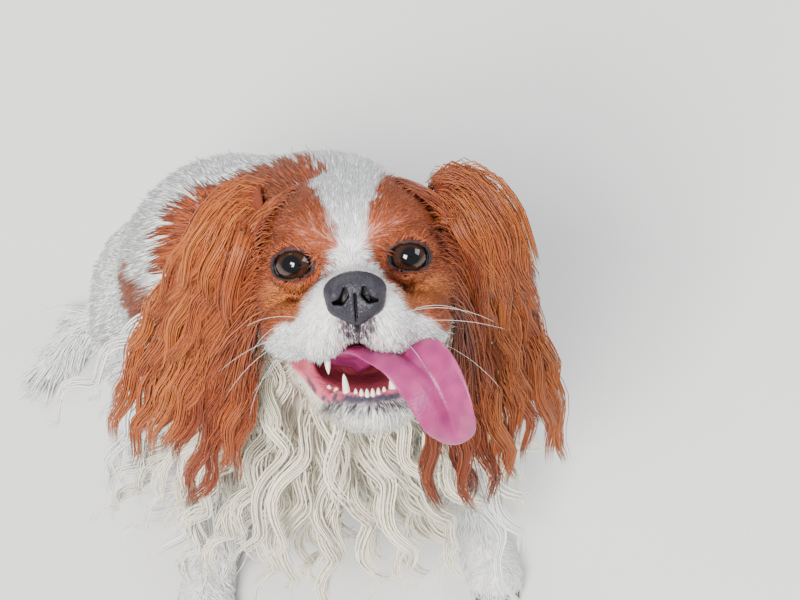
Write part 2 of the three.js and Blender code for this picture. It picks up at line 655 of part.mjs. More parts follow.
const tongueSolid = tongue();
const tongueRoom = grown(tongueSolid, GAP);
const headSolid = skull();
const headRoom = grown(headSolid, GAP);
const jawFlesh = surface(jawField, JAW_BOX, HEAD_CELL);
const jawRoom = grown(jawFlesh, GAP);
const openJaw = above(jawFlesh, NECK_TOP, UP).subtract(mouthHollow).add(join(lowerTeeth()));
nodes.nose = largest(nosePad().subtract(headRoom));
nodes.head = largest(headSolid.add(join(upperTeeth())).subtract(tongueRoom));
nodes.lower_jaw = largest(drawnTogether(openJaw, FACE_EDGE).subtract(headRoom).subtract(tongueRoom));
nodes.tongue = largest(tongueSolid);
for (const [name, side] of Object.entries(SIDES)) nodes["eye_" + name] = eyeball(side, EYE_RADIUS);

nodes.chest = largest(chestWithRuff.subtract(headRoom).subtract(jawRoom).subtract(tongueRoom));
const neck = above(below(trunk, NECK_TOP, UP), NECK_BASE, neckLie);
nodes.neck = largest(without(neck, [jawRoom, ruffRoom, ...chestRooms]));

// Ears: a cupped flap from the side of the skull, with long locks over it and past its end.
// A place on an ear is given by the way down it, the way across it, and a rise above the flap's inner face.
const EAR_HALF_WIDTHS = [[20, 0], [26, 0.2], [33, 0.45], [41, 0.7], [44, 0.85], [40, 1]];
const FLARE = { left: 0.12, right: 0.36 };
const EAR_ELBOW = { left: [62, 42, 8], right: [-64, 42, 4] };
const EAR_RISE = { left: 24, right: 22 };

function earPlaces(name, side) {
  const level = frame(vec(0, 0, 0), HEAD_YAW);
  const forward = along(level, 0, -1, 0);
  const outward = along(level, side, 0, 0);
  const hang = DOWN.clone().addScaledVector(forward, 0.3).addScaledVector(outward, FLARE[name]).normalize();
  const elbow = inHead(...EAR_ELBOW[name]);
  const hung = [50, 110, 190].map((length) => elbow.clone().addScaledVector(hang, length));
  const root = [inHead(38 * side, 42, 26), inHead(54 * side, 42, EAR_RISE[name])];
  const line = new THREE.CatmullRomCurve3([...root, elbow, ...hung]);
  const widths = new THREE.CatmullRomCurve3(EAR_HALF_WIDTHS.map(([half, s]) => vec(half, s, 0)));
  return (s, t, rise) => {
    const tangent = line.getTangent(s);
    const wing = outward.clone().multiplyScalar(0.88).addScaledVector(forward, -0.47);
    wing.addScaledVector(tangent, -wing.dot(tangent)).normalize();
    const out = wing.clone().cross(tangent).multiplyScalar(-side).normalize();
    const half = widths.getPoint(s).x;
    const p = line.getPoint(s).addScaledVector(wing, t * half).addScaledVector(out, -0.2 * half * t * t);
    return clearOf(flesh, p, 5).addScaledVector(out, rise);
  };
}

function earFlap(place, side) {
  const [rows, columns] = [9, 7];
  const points = [];
  for (const rise of [EAR_THICK, 0])
    for (let i = 0; i < rows; i++)
      for (let k = 0; k < columns; k++) {
        const s = 0.03 + 0.62 * (i / (rows - 1));
        const t = (-1 + (2 * k) / (columns - 1)) * Math.sqrt(1 - 0.7 * (i / (rows - 1)) ** 3);
        points.push(place(s, t, rise));
      }
  const inner = rows * columns;
  const faces = [];
  for (let i = 0; i < rows - 1; i++)
    for (let k = 0; k < columns - 1; k++) {
      const a = i * columns + k;
      const [b, c, d] = [a + columns, a + columns + 1, a + 1];
      faces.push(a, b, c, a, c, d);
      faces.push(inner + a, inner + c, inner + b, inner + a, inner + d, inner + c);
    }
  const rim = [];
  for (let k = 0; k < columns - 1; k++) rim.push(k);
  for (let i = 0; i < rows - 1; i++) rim.push(i * columns + columns - 1);
  for (let k = columns - 1; k > 0; k--) rim.push((rows - 1) * columns + k);
  for (let i = rows - 1; i > 0; i--) rim.push(i * columns);
  rim.forEach((a, n) => {
    const b = rim[(n + 1) % rim.length];
    faces.push(a, b, inner + b, a, inner + b, inner + a);
  });
  return fromArrays(points.flatMap((q) => q.toArray()), side > 0 ? faces : mirrored(faces));
}

function earLocks(place) {
  const locks = [];
  const rows = [0.06, 0.24, 0.42, 0.58];
  const perRow = 5;
  rows.forEach((start, row) => {
    for (let k = 0; k < perRow; k++) {
      const across = lerp(-0.95, 0.95, (k + (row % 2 ? 0.25 : 0.6)) / perRow);
      const reach = draw(0.34, 0.44);
      const phase = draw(0, 6);
      const width = draw(18, 24);
      const over = 4 + 2.5 * (rows.length - 1 - row);
      const path = [];
      for (let i = 0; i <= LOCK_BENDS; i++) {
        const u = i / LOCK_BENDS;
        const sway = 0.14 * Math.cos(phase + 5 * u) * u;
        const rise = EAR_THICK + lerp(-4, over, Math.min(1, u * 4)) - 2 * u;
        path.push(place(Math.min(start + reach * u, 1), across * (1 + 0.12 * u) + sway, rise));
      }
      locks.push({ path, width, thick: width * 0.36 });
    }
  });
  return locks;
}

for (const [name, side] of Object.entries(SIDES)) {
  const place = earPlaces(name, side);
  const ear = withLocks(earFlap(place, side), earLocks(place));
  nodes["ear_" + name] = largest(without(ear, [headRoom, trunkRoom, jawRoom, ...chestRooms]));
}

// Colour and roughness of each piece; nothing on the dog is metal.
const WHITE_COAT = [0xe2e6e6, 0.85];
const FINISHES = {
  head: [0x9c512d, 0.8],
  lower_jaw: [0xd9d3c6, 0.8],
  tongue: [0xcb6592, 0.35],
  nose: [0x413e46, 0.4],
  eye_left: [0x2c1b16, 0.08],
  eye_right: [0x2c1b16, 0.08],
  ear_left: [0x9e5733, 0.75],
  ear_right: [0x9e5733, 0.75],
  chest: [0xdfd9c5, 0.85],
};

function shape(body) {
  const mesh = body.getMesh();
  return new THREE.BufferGeometry()
    .setAttribute("position", new THREE.BufferAttribute(mesh.vertProperties, 3))
    .setIndex(new THREE.BufferAttribute(mesh.triVerts, 1));
}

const group = new THREE.Group();
for (const [name, body] of Object.entries(nodes)) {
  const [color, roughness] = FINISHES[name] ?? WHITE_COAT;
  const mesh = new THREE.Mesh(shape(body), new THREE.MeshStandardMaterial({ color, roughness, metalness: 0 }));
  mesh.name = name;
  group.add(mesh);
}

export default group;
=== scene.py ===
import math

import bpy
import numpy as np
from mathutils import Matrix, Vector


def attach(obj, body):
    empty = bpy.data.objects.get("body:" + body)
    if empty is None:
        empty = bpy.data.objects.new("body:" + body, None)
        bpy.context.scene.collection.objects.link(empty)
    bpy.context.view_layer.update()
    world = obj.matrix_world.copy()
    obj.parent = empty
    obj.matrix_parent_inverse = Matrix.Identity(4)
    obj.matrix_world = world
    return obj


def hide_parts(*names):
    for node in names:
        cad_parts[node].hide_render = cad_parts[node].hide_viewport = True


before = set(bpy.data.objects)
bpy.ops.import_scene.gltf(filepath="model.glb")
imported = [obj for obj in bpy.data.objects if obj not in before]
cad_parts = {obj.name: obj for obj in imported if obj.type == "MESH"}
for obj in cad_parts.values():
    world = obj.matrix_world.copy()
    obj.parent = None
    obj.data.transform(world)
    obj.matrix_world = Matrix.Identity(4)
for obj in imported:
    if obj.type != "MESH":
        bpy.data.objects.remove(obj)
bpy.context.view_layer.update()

SEED = 11
MM = 0.001
draw = np.random.default_rng(SEED)

# The same named sizes as the solids have.
WITHERS = 312
HIP_HEIGHT = 88
EYE_HEIGHT = 430
EYE_SPACING = 58
EYE_RADIUS = 11.5
EYE_DEPTH = 5
GAZE_OUT = 9
MUZZLE = 44
PELVIS_YAW = 15
CHEST_YAW = -20
HEAD_YAW = -27
HEAD_PITCH = 51
HEAD_ROLL = -4

# How far the front of the lower jaw and the nose lie to the dog's left, in the scene only.
JAW_SLIDE = 6
NOSE_X = 2

# Depth of the coat that lies over the skin.
BODY_DEPTH = 6.5
FACE_DEPTH = 2.2
PAW_DEPTH = 2.8

# Camera.
CAMERA_AZIMUTH = -27
CAMERA_ELEVATION = 57
CAMERA_DISTANCE = 1000
FOCAL_PIXELS = 1933
IMAGE_WIDTH = 800
IMAGE_CENTRE = (400, 300)
EYES_PIXEL = (351, 260)
SENSOR_WIDTH = 36


def norm(v):
    return np.linalg.norm(v, axis=-1)


def unit(v):
    return v / np.maximum(norm(v)[..., None], 1e-9)


def ease(low, high, x):
    """0 up to low, 1 from high on, and a smooth step between them. High may be the smaller one."""
    t = np.clip((x - low) / (high - low), 0, 1)
    return t * t * (3 - 2 * t)


class Place:
    """A local frame: x to the dog's left, y backward, z up, turned by yaw, then pitched up and rolled."""

    def __init__(self, origin, yaw, pitch=0, roll=0):
        turn = Matrix.Rotation(math.radians(yaw), 3, "Z")
        lift = Matrix.Rotation(math.radians(-pitch), 3, "X")
        lean = Matrix.Rotation(math.radians(roll), 3, "Y")
        self.origin = np.array(origin, float)
        self.axes = np.array(turn @ lift @ lean)

    def __call__(self, x, y, z):
        return self.origin + self.axes @ np.array([x, y, z], float)

    def local(self, p):
        return (p - self.origin) @ self.axes

    def along(self, x, y, z):
        return unit(self.axes @ np.array([x, y, z], float))


PELVIS = Place((0, -15, 0), PELVIS_YAW)
CHEST = Place((50, -141, 0), CHEST_YAW)
HEAD = Place((24, -238, EYE_HEIGHT), HEAD_YAW, HEAD_PITCH, HEAD_ROLL)
SIDES = {"left": 1, "right": -1}
UP = np.array([0.0, 0, 1])
AHEAD = CHEST.along(0, -1, 0)
BEHIND = CHEST.along(0, 1, 0)


# Fields: each gives the signed distance of many points to one form, negative inside.
def limb(a, b, ra, rb):
    axis = b - a
    length_sq = axis @ axis

    def field(p):
        t = np.clip((p - a) @ axis / length_sq, 0, 1)
        return norm(p - a - t[:, None] * axis) - (ra + (rb - ra) * t)

    return field


def ball(place, centre, radii):
    centre = np.array(centre, float)
    radii = np.array(radii, float)

    def field(p):
        q = place.local(p) - centre
        k0 = norm(q / radii)
        k1 = norm(q / radii**2)
        return k0 * (k0 - 1) / np.maximum(k1, 1e-9)

    return field


def blend_min(a, b, k):
    h = np.maximum(k - np.abs(a - b), 0) / k
    return np.minimum(a, b) - h * h * k / 4


def blend(k, shapes):
    def field(p):
        d = shapes[0](p)
        for shape in shapes[1:]:
            d = blend_min(d, shape(p), k)
        return d

    return field


def cut(a, b, k):
    """What is left of a where b is taken away, with a rounded edge."""
    return -blend_min(-a, b, k)


def slope(field, p, step=0.4):
    d = field(p)
    return np.stack([field(p + step * e) - d for e in np.eye(3)], 1) / step, d


def pushed_out(field, p, clearance):
    g, d = slope(field, p)
    return p + unit(g) * np.maximum(clearance - d, 0)[:, None]


def pair(x, y, z, radii):
    """The same ball on both sides of the head."""
    return [ball(HEAD, (x * s, y, z), radii) for s in SIDES.values()]


# Flesh. A place is told by how far it lies to the left, backward and up, and a radius follows for each end.
HIPS = PELVIS(0, 0, HIP_HEIGHT + 22)
LOIN = PELVIS(10, -50, 186)
SHOULDERS = CHEST(0, 34, WITHERS - 84)
BREAST = CHEST(0, -22, WITHERS - 92)
NECK_FOOT = CHEST(0, -10, WITHERS - 40)
NECK_TOP = HEAD(0, 62, -34)

# Rump, belly, ribs, breast, the front of the breast, and neck.
trunk = blend(26, [
    ball(PELVIS, (0, 14, 76), (68, 64, 86)),
    limb(HIPS, LOIN, 68, 76),
    limb(LOIN, SHOULDERS, 76, 72),
    limb(SHOULDERS, BREAST, 72, 66),
    ball(CHEST, (0, -54, WITHERS - 96), (62, 42, 60)),
    limb(NECK_FOOT, NECK_TOP, 56, 42),
])

# Braincase, brows, cheekbones, cheeks, the front of the muzzle, its sides, and its bridge.
skull = blend(12, [
    ball(HEAD, (0, 46, 6), (50, 54, 40)),
    *pair(17, 14, 16, (20, 20, 14)),
    *pair(36, 38, -18, (20, 30, 26)),
    *pair(30, 45, -38, (20, 20, 20)),
    *pair(15, -24, -29, (16, 16, 15)),
    *pair(33, -2, -33, (16, 22, 14)),
    ball(HEAD, (0, -14, -20), (25, 30, 17)),
])

# Chin, the two branches of the jaw, and the floor of the mouth.
straight_jaw = blend(12, [
    ball(HEAD, (0, -12, -76), (19, 16, 13)),
    *[limb(HEAD(28 * s, 40, -58), HEAD(9 * s, -6, -72), 14, 12) for s in SIDES.values()],
    ball(HEAD, (0, 22, -76), (30, 34, 14)),
])

# The upper lips, from the front to the corners of the mouth.
lips = blend(9, [
    *pair(18, -21, -36, (13, 14, 14)),
    *pair(33, 0, -37, (14, 20, 13)),
    *pair(29, 24, -50, (11, 16, 13)),
])


def slid(p):
    """Points as they would be with the lower jaw straight: its front has slid to the dog's left."""
    h = HEAD.local(p)
    slide = JAW_SLIDE * ease(44, -12, h[:, 1]) * ease(-44, -60, h[:, 2])
    return p - slide[:, None] * HEAD.axes[:, 0]


def jaw(p):
    return straight_jaw(slid(p))


# The middle of a paw's toes, and the gap between two of them.
FORE_TOES = (102, -104, 9, 9.5)
HIND_TOES = (70, -94, 8, 8.5)
TOE_STEPS = (-1.5, -0.5, 0.5, 1.5)


def toe_centres(toes, s):
    """Four toes side by side, the outer ones further back."""
    x, y, z, gap = toes
    return [(x * s + gap * k, y + 4 * abs(k), z) for k in TOE_STEPS]


def foreleg(s):
    shoulder = CHEST(44 * s, -44, WITHERS - 80)
    elbow = CHEST(62 * s, -18, 162)
    wrist = CHEST(84 * s, -56, 62)
    foot = CHEST(95 * s, -72, 18)
    return blend(14, [limb(shoulder, elbow, 32, 25), limb(elbow, wrist, 23, 17), limb(wrist, foot, 17, 17)])


def forepaw(s):
    sole = ball(CHEST, (101 * s, -88, 13), (21, 26, 16))
    return blend(5, [sole, *[ball(CHEST, toe, (7, 12, 11)) for toe in toe_centres(FORE_TOES, s)]])


def hind_leg(s):
    hip, knee = PELVIS(32 * s, 2, HIP_HEIGHT), PELVIS(62 * s, -84, 110)
    shin, hock = PELVIS(62 * s, -84, 104), PELVIS(66 * s, -4, 24)
    heel, foot = PELVIS(66 * s, -4, 20), PELVIS(69 * s, -60, 14)
    return blend(16, [
        limb(hip, knee, 48, 29),
        ball(PELVIS, (46 * s, -34, 76), (36, 60, 58)),
        limb(shin, hock, 26, 19),
        limb(heel, foot, 17, 15),
    ])


def hind_paw(s):
    sole = ball(PELVIS, (70 * s, -78, 12), (19, 26, 14))
    return blend(5, [sole, *[ball(PELVIS, toe, (6.5, 12, 10)) for toe in toe_centres(HIND_TOES, s)]])


def both_sides(*parts):
    return [part(s) for part in parts for s in SIDES.values()]


# The tail lies on the floor and sweeps round to the dog's right.
TAIL = [PELVIS(0, 44, 44), PELVIS(-20, 74, 20)]
TAIL += [np.array(p, float) for p in [(-56, 56, 14), (-80, 46, 12), (-100, 38, 10)]]
TAIL_RADIUS = 17
TAIL_TAPER = 2.2
tail = blend(8, [
    limb(a, b, TAIL_RADIUS - TAIL_TAPER * i, TAIL_RADIUS - 2 - TAIL_TAPER * i)
    for i, (a, b) in enumerate(zip(TAIL, TAIL[1:]))
])
forelegs = blend(10, both_sides(foreleg, forepaw))
hind_legs = blend(10, both_sides(hind_leg, hind_paw))
body_flesh = blend(14, [trunk, forelegs, hind_legs, tail])
head_flesh = blend(12, [skull, trunk])
ear_clear = blend(12, [skull, jaw, trunk, *both_sides(foreleg)])


def body_skin(p):
    paw = ease(60, 34, p[:, 2])
    return body_flesh(p) + BODY_DEPTH + (PAW_DEPTH - BODY_DEPTH) * paw


def face_depth(p):
    back = ease(30, 95, HEAD.local(p)[:, 1])
    return FACE_DEPTH + (BODY_DEPTH - FACE_DEPTH) * back


# Eyes, in a frame of their own whose -y is the gaze.
LID_THICK = 1.9
LID_SLANT = 7
LIDS_DOWN = 1.0
OPENING = (10.4, 7.9)
LOWER_LID = 5.9


def eye_place(side):
    place = Place(HEAD(EYE_SPACING / 2 * side, EYE_DEPTH, 0), 0)
    place.axes = HEAD.axes @ np.array(Matrix.Rotation(math.radians(GAZE_OUT * side), 3, "Z"))
    return place


EYES = {name: eye_place(side) for name, side in SIDES.items()}


def eye_opening(name, p):
    """About how far a point is outside the oval between the lids, seen along the gaze."""
    q = EYES[name].local(p)
    slant = math.radians(LID_SLANT * SIDES[name])
    x = q[:, 0] * math.cos(slant) - q[:, 2] * math.sin(slant)
    z = q[:, 0] * math.sin(slant) + q[:, 2] * math.cos(slant) + LIDS_DOWN
    k = np.hypot(x / OPENING[0], z / np.where(z > 0, OPENING[1], LOWER_LID))
    return (k - 1) * OPENING[1]


# The hollow of the open mouth with its corners, the groove under the nose, and the bed of the nose pad.
straight_mouth = blend(5, [
    ball(HEAD, (0, 4, -56), (28, 38, 13)),
    *[limb(HEAD(20 * s, 0, -60), HEAD(35 * s, 17, -55), 8, 3.5) for s in SIDES.values()],
])
philtrum = blend(3, [
    ball(HEAD, (NOSE_X, -42, -33), (1.3, 8, 14)),
    ball(HEAD, (NOSE_X / 2, -36, -47), (5, 14, 6)),
])
nose_bed = ball(HEAD, (NOSE_X, -MUZZLE + 6, -13.5), (14.6, 8.2, 10.6))


def mouth(p):
    return straight_mouth(slid(p))


def face_skin(p):
    d = blend_min(blend_min(head_flesh(p), lips(p), 8), jaw(p), 5) + face_depth(p)
    d = cut(d, mouth(p), 2.5)
    d = cut(d, philtrum(p), 2)
    d = cut(d, nose_bed(p), 1.5)
    for name, place in EYES.items():
        q = place.local(p)
        r = norm(q)
        rod = np.maximum(eye_opening(name, p), q[:, 1] + 2)
        d = blend_min(d, r - (EYE_RADIUS + LID_THICK), 5)
        d = cut(d, rod, 1.2)
        d = np.maximum(d, EYE_RADIUS + 0.15 - r)
    return d


# The seam between the head's skin and the body's runs round the neck, under the hair.
NECK_SEAM = (NECK_FOOT + NECK_TOP) / 2
NECK_LIE = unit(NECK_TOP - NECK_FOOT)
FIT_ROUNDS = 3


def past_seam(p):
    """How far a point lies towards the head from the seam."""
    return (p - NECK_SEAM) @ NECK_LIE


def stepped_back(at, a, i, j):
    """Cells one step back along the two axes other than a, where i and j are 1."""
    cells = at.copy()
    cells[:, (a + 1) % 3] -= i
    cells[:, (a + 2) % 3] -= j
    return tuple(cells.T)


def surface(field, low, high, cell):
    """The closed surface where a field is zero, as points and triangles."""
    low = np.array(low, float)
    count = np.ceil((np.array(high) - low) / cell).astype(int) + 1
    axes = [low[i] + cell * np.arange(count[i]) for i in range(3)]
    grid = np.stack(np.meshgrid(*axes, indexing="ij"), -1)
    value = np.concatenate([field(sheet.reshape(-1, 3)) for sheet in grid]).reshape(count)
    value[[0, -1]] = value[:, [0, -1]] = value[:, :, [0, -1]] = cell
    total = np.zeros((*(count - 1), 3))
    crossings = np.zeros(count - 1, int)
    edges = []
    for a in range(3):
        v0 = np.take(value, range(count[a] - 1), a)
        v1 = np.take(value, range(1, count[a]), a)
        at = np.argwhere((v0 < 0) != (v1 < 0))
        w0, w1 = v0[tuple(at.T)], v1[tuple(at.T)]
        point = at.astype(float)
        point[:, a] += w0 / (w0 - w1)
        for i, j in ((0, 0), (0, 1), (1, 0), (1, 1)):
            cells = stepped_back(at, a, i, j)
            np.add.at(total, cells, point)
            np.add.at(crossings, cells, 1)
        edges.append((a, at, w0 < 0))
    used = crossings > 0
    index = np.full(used.shape, -1)
    index[used] = np.arange(used.sum())
    points = low + cell * total[used] / crossings[used][:, None]
    for _ in range(FIT_ROUNDS):
        g, d = slope(field, points, 0.05)
        step = -g * (d / np.maximum((g * g).sum(1), 0.2))[:, None]
        points += np.clip(step, -cell / 4, cell / 4)
    faces = []
    for a, at, inward in edges:
        q = np.stack([index[stepped_back(at, a, i, j)] for i, j in ((0, 0), (1, 0), (1, 1), (0, 1))], 1)
        q[~inward] = q[~inward][:, ::-1]
        faces += [q[:, [0, 1, 2]], q[:, [0, 2, 3]]]
    return points, np.concatenate(faces)


def joined(parts):
    points, faces, offset = [], [], 0
    for p, f in parts:
        points.append(p)
        faces.append(f + offset)
        offset += len(p)
    return np.concatenate(points), np.concatenate(faces)


# Colours, given as they look on a screen, and turned into the linear values of a shader.
def linear(*rgb):
    c = np.array(rgb) / 255
    return np.where(c <= 0.04045, c / 12.92, ((c + 0.055) / 1.055) ** 2.4)


WHITE = linear(248, 249, 248)
CREAM = linear(242, 229, 198)
CHESTNUT = linear(176, 88, 48)
DEEP_CHESTNUT = linear(108, 42, 18)
GOLDEN = linear(214, 128, 66)
GREY_HAIR = linear(74, 70, 78)
RIM = linear(20, 19, 24)
GUM = linear(214, 104, 122)
LIP = linear(64, 62, 78)
# The throat's red, darkened with painted shade for the depth of the mouth.
SHADED_THROAT = linear(120, 40, 52)
PINK_SKIN = linear(238, 190, 190)


def mixed(a, b, share):
    return a + (b - a) * share[:, None]


def oval(h, centre, radii):
    """How many times its own radius a point lies from the middle of an oval."""
    return norm((h - centre) / radii)


def ripple(p, size):
    """A smooth, irregular value between about -1 and 1 that varies over a given length."""
    q = p * (2 * math.pi / size)
    x, y, z = q[:, 0], q[:, 1], q[:, 2]
    waves = [
        np.sin(x + 1.7 * np.sin(0.7 * y)),
        np.sin(1.1 * y + 1.3 * np.sin(0.9 * z)),
        np.sin(0.9 * z + x * 0.6),
    ]
    return sum(waves) / len(waves)


# Half width of the white on the face, by height from the eyes' level.
BLAZE = [
    (-60, 60), (-45, 56), (-40, 47), (-31, 38), (-23, 26), (-14, 20), (-5, 12),
    (0, 7.5), (10, 6.5), (18, 8), (26, 12), (32, 16), (50, 19), (90, 21),
]

# The patches of the body: on the withers, the right flank, the left flank, the rump and the left shoulder.
PATCHES = [
    limb(np.array([-2, -80, 262.0]), np.array([44, -84, 300.0]), 35, 33),
    limb(np.array([-58, -48, 204.0]), np.array([-52, -80, 214.0]), 20, 19),
    limb(PELVIS(52, -30, 170), PELVIS(64, -60, 130), 30, 24),
    ball(PELVIS, (4, 62, 96), (30, 26, 34)),
    limb(CHEST(60, 20, 262), CHEST(66, -6, 236), 22, 18),
]


def brown_of_face(h, wobble):
    """Chestnut beside the blaze, and on the cheeks below the corners of the mouth."""
    levels, halves = zip(*BLAZE)
    half = np.interp(h[:, 2], levels, halves)
    face = ease(-1.6, 2.4, np.abs(h[:, 0]) - half + wobble)
    chin = ease(36, 41, np.abs(h[:, 0]) + wobble) * ease(-100, -88, h[:, 2] + wobble)
    low = ease(-43, -50, h[:, 2])
    return face * (1 - low) + chin * low


def chestnut_share(p):
    """The chestnut share of the coat over a point, with wavering edges."""
    h = HEAD.local(p)
    wobble = ripple(p, 17) * 2.6 + ripple(p, 7) * 1.4
    reach = 88 + 58 * ease(24, 42, np.abs(h[:, 0]))
    on_head = ease(8, -8, h[:, 1] - reach + 2 * wobble) * ease(120, 100, np.abs(h[:, 0]))
    on_head = on_head * ease(-118, -104, h[:, 2])
    body = np.min([patch(p) for patch in PATCHES], 0) + 2.2 * wobble
    return np.maximum(brown_of_face(h, wobble) * on_head, ease(1.5, -1.5, body) * (1 - on_head))


def white_of_coat(p, h):
    """White, creamier on the breast, with pink showing through beside the nose."""
    cream = ease(20, -30, CHEST.local(p)[:, 1]) * ease(80, 200, p[:, 2])
    cream = cream * ease(40, 90, h[:, 1] - h[:, 2])
    white = mixed(WHITE, CREAM, 0.75 * np.clip(cream, 0, 1))
    pink = oval(np.abs(h - [NOSE_X, -34, -39]), [9, 0, 0], [5, 14, 5])
    return mixed(white, PINK_SKIN, 0.4 * ease(1.1, 0.5, pink))


def brown_of_coat(p, h):
    """Chestnut, deeper in places and golden under the eyes."""
    deep = np.clip(0.35 + 0.5 * ripple(p, 31), 0, 1)
    brown = mixed(CHESTNUT, DEEP_CHESTNUT, 0.42 * deep)
    under_eye = oval(np.abs(h), [33, 8, 17], [16, 40, 9])
    return mixed(brown, GOLDEN, 0.6 * ease(1.2, 0.5, under_eye) * (h[:, 2] < 0))


def grey_share(p, h):
    """Grey hair: speckled under the nose, and along the lower lip."""
    below_nose = oval(h, [NOSE_X, -38, -26], [0.95, 1.2, 1.3])
    below_nose = np.where(h[:, 2] > -16, 99, below_nose)
    speckle = ripple(p, 1.1) + 1.2 * ease(14, 8, below_nose) - 0.5
    under_nose = ease(15, 9, below_nose) * ease(-0.2, 0.3, speckle)
    on_lip = ease(12, 6.5, mouth(p)) * ease(-60, -66, h[:, 2]) * ease(8, -4, h[:, 1])
    return np.maximum(under_nose, on_lip * (0.7 + 0.3 * (ripple(p, 3) > 0)))


def markings(p):
    """The colour of the coat over a point."""
    h = HEAD.local(p)
    coat_colour = mixed(white_of_coat(p, h), brown_of_coat(p, h), chestnut_share(p))
    return mixed(coat_colour, GREY_HAIR, grey_share(p, h))


def lip_width(p):
    """How far the bare lip reaches from the mouth: broader on the lower jaw."""
    h = HEAD.local(p)
    return 2.8 + 2.6 * ease(-58, -64, h[:, 2])


def with_lids(c, p):
    """Dark rims on the lids, and brown skin about them."""
    for name, place in EYES.items():
        near = norm(place.local(p)) < EYE_RADIUS + 6
        opening = eye_opening(name, p)
        c = mixed(c, DEEP_CHESTNUT * 0.6, ease(6, 3, opening) * near)
        c = mixed(c, RIM, ease(2.0, 0.9, opening) * near)
    return c


def with_mouth(c, p, h, on_face):
    """Spotted lips, gums, and a throat whose red is darkened with painted shade deeper into the mouth."""
    inside = mouth(p)
    lip = ease(1.2, 0, inside - lip_width(p)) * on_face
    beside = ease(12, 20, np.abs(h[:, 0] - JAW_SLIDE))
    spots = ease(-0.1, 0.25, ripple(p, 9))
    c = mixed(c, mixed(LIP, GUM, beside * (0.1 + 0.85 * spots)), lip)
    gum = ease(1.0, 0, inside - 0.2 - 1.6 * ease(-58, -64, h[:, 2])) * on_face
    c = mixed(c, GUM, gum)
    return mixed(c, SHADED_THROAT, ease(6, 26, h[:, 1]) * gum)


def skin_colour(p):
    """The coat's colour over hairy skin, and bare lids, lips, gums and throat."""
    h = HEAD.local(p)
    on_face = (h[:, 1] < 60) & (np.abs(h[:, 2]) < 110)
    c = with_lids(mixed(markings(p) * 0.82, PINK_SKIN, np.full(len(p), 0.12)), p)
    round_nose = np.minimum(philtrum(p), nose_bed(p) - 0.8)
    c = mixed(c, RIM, ease(1.0, 0.1, round_nose) * on_face)
    return with_mouth(c, p, h, on_face)


# Materials. The unwrap's patch of a tuft, and the fine lines on it: how many, how strong and how deep.
PATCH = 0.003
FIBRES_ACROSS = 7
FIBRES_ALONG = 0.7
FIBRE_SHADES = (0.74, 1.22)
FIBRE_RELIEF = 0.12


def add_node(tree, kind, **inputs):
    """A new node. Each input is given a value, or another node's output to be linked from."""
    made = tree.nodes.new(kind)
    for name, value in inputs.items():
        socket = made.inputs[name.replace("_", " ")]
        if isinstance(value, bpy.types.NodeSocket):
            tree.links.new(value, socket)
        else:
            socket.default_value = value
    return made


def add_fibres(tree, tint, shader):
    """Fine lines along each strand, in its tint and its relief."""
    place = tree.nodes.new("ShaderNodeUVMap")
    place.uv_map = "OFBake"
    stretch = add_node(tree, "ShaderNodeMapping", Vector=place.outputs["UV"],
                       Scale=(FIBRES_ACROSS / PATCH, FIBRES_ALONG / PATCH, 1))
    noise = add_node(tree, "ShaderNodeTexNoise", Vector=stretch.outputs["Vector"], Scale=1, Detail=1)
    darkest, lightest = FIBRE_SHADES
    value = add_node(tree, "ShaderNodeMapRange", Value=noise.outputs["Fac"], From_Min=0.3, From_Max=0.7,
                     To_Min=darkest, To_Max=lightest)
    shade = add_node(tree, "ShaderNodeHueSaturation", Value=value.outputs["Result"],
                     Color=tint.outputs["Color"])
    relief = add_node(tree, "ShaderNodeBump", Distance=FIBRE_RELIEF * MM, Height=noise.outputs["Fac"])
    tree.links.new(shade.outputs["Color"], shader.inputs["Base Color"])
    tree.links.new(relief.outputs["Normal"], shader.inputs["Normal"])


def add_bump(tree, shader, scale, distance, cells):
    """A fine relief of waves, or of raised cells."""
    coordinates = tree.nodes.new("ShaderNodeTexCoord")
    kind = "ShaderNodeTexVoronoi" if cells else "ShaderNodeTexNoise"
    grain = add_node(tree, kind, Vector=coordinates.outputs["Object"], Scale=scale)
    grain.inputs["Detail"].default_value = 0 if cells else 3
    relief = add_node(tree, "ShaderNodeBump", Distance=distance * MM, Height=grain.outputs[0])
    relief.invert = cells
    tree.links.new(relief.outputs["Normal"], shader.inputs["Normal"])


def material(name, roughness, colour=None, bump=None, cells=False, fibres=False, **settings):
    """A principled material. Without a colour it takes the mesh's tint. Bump is a scale and a distance."""
    made = bpy.data.materials.new(name)
    made.use_nodes = True
    tree = made.node_tree
    shader = tree.nodes["Principled BSDF"]
    shader.inputs["Roughness"].default_value = roughness
    for socket, value in settings.items():
        shader.inputs[socket.replace("_", " ")].default_value = value
    if colour is None:
        tint = tree.nodes.new("ShaderNodeVertexColor")
        tint.layer_name = "tint"
        tree.links.new(tint.outputs["Color"], shader.inputs["Base Color"])
    else:
        shader.inputs["Base Color"].default_value = (*colour, 1)
    if fibres:
        add_fibres(tree, tint, shader)
    if bump:
        add_bump(tree, shader, *bump, cells)
    return made


SKIN = material("skin", 0.6, bump=(420, 0.8), Specular_IOR_Level=0.3)
HAIR = material("hair", 0.55, fibres=True, Specular_IOR_Level=0.35)
SILK = material("silky_hair", 0.42, fibres=True, Specular_IOR_Level=0.45)
EYE = material("eye", 0.05)
NOSE = material("nose_leather", 0.46, bump=(900, 0.22), cells=True, Specular_IOR_Level=0.3)
TONGUE = material("tongue", 0.4, bump=(900, 0.25), Subsurface_Weight=0.15)
TOOTH = material("tooth", 0.25, colour=linear(236, 228, 206))
CLAW = material("claw", 0.35, colour=linear(84, 74, 66))


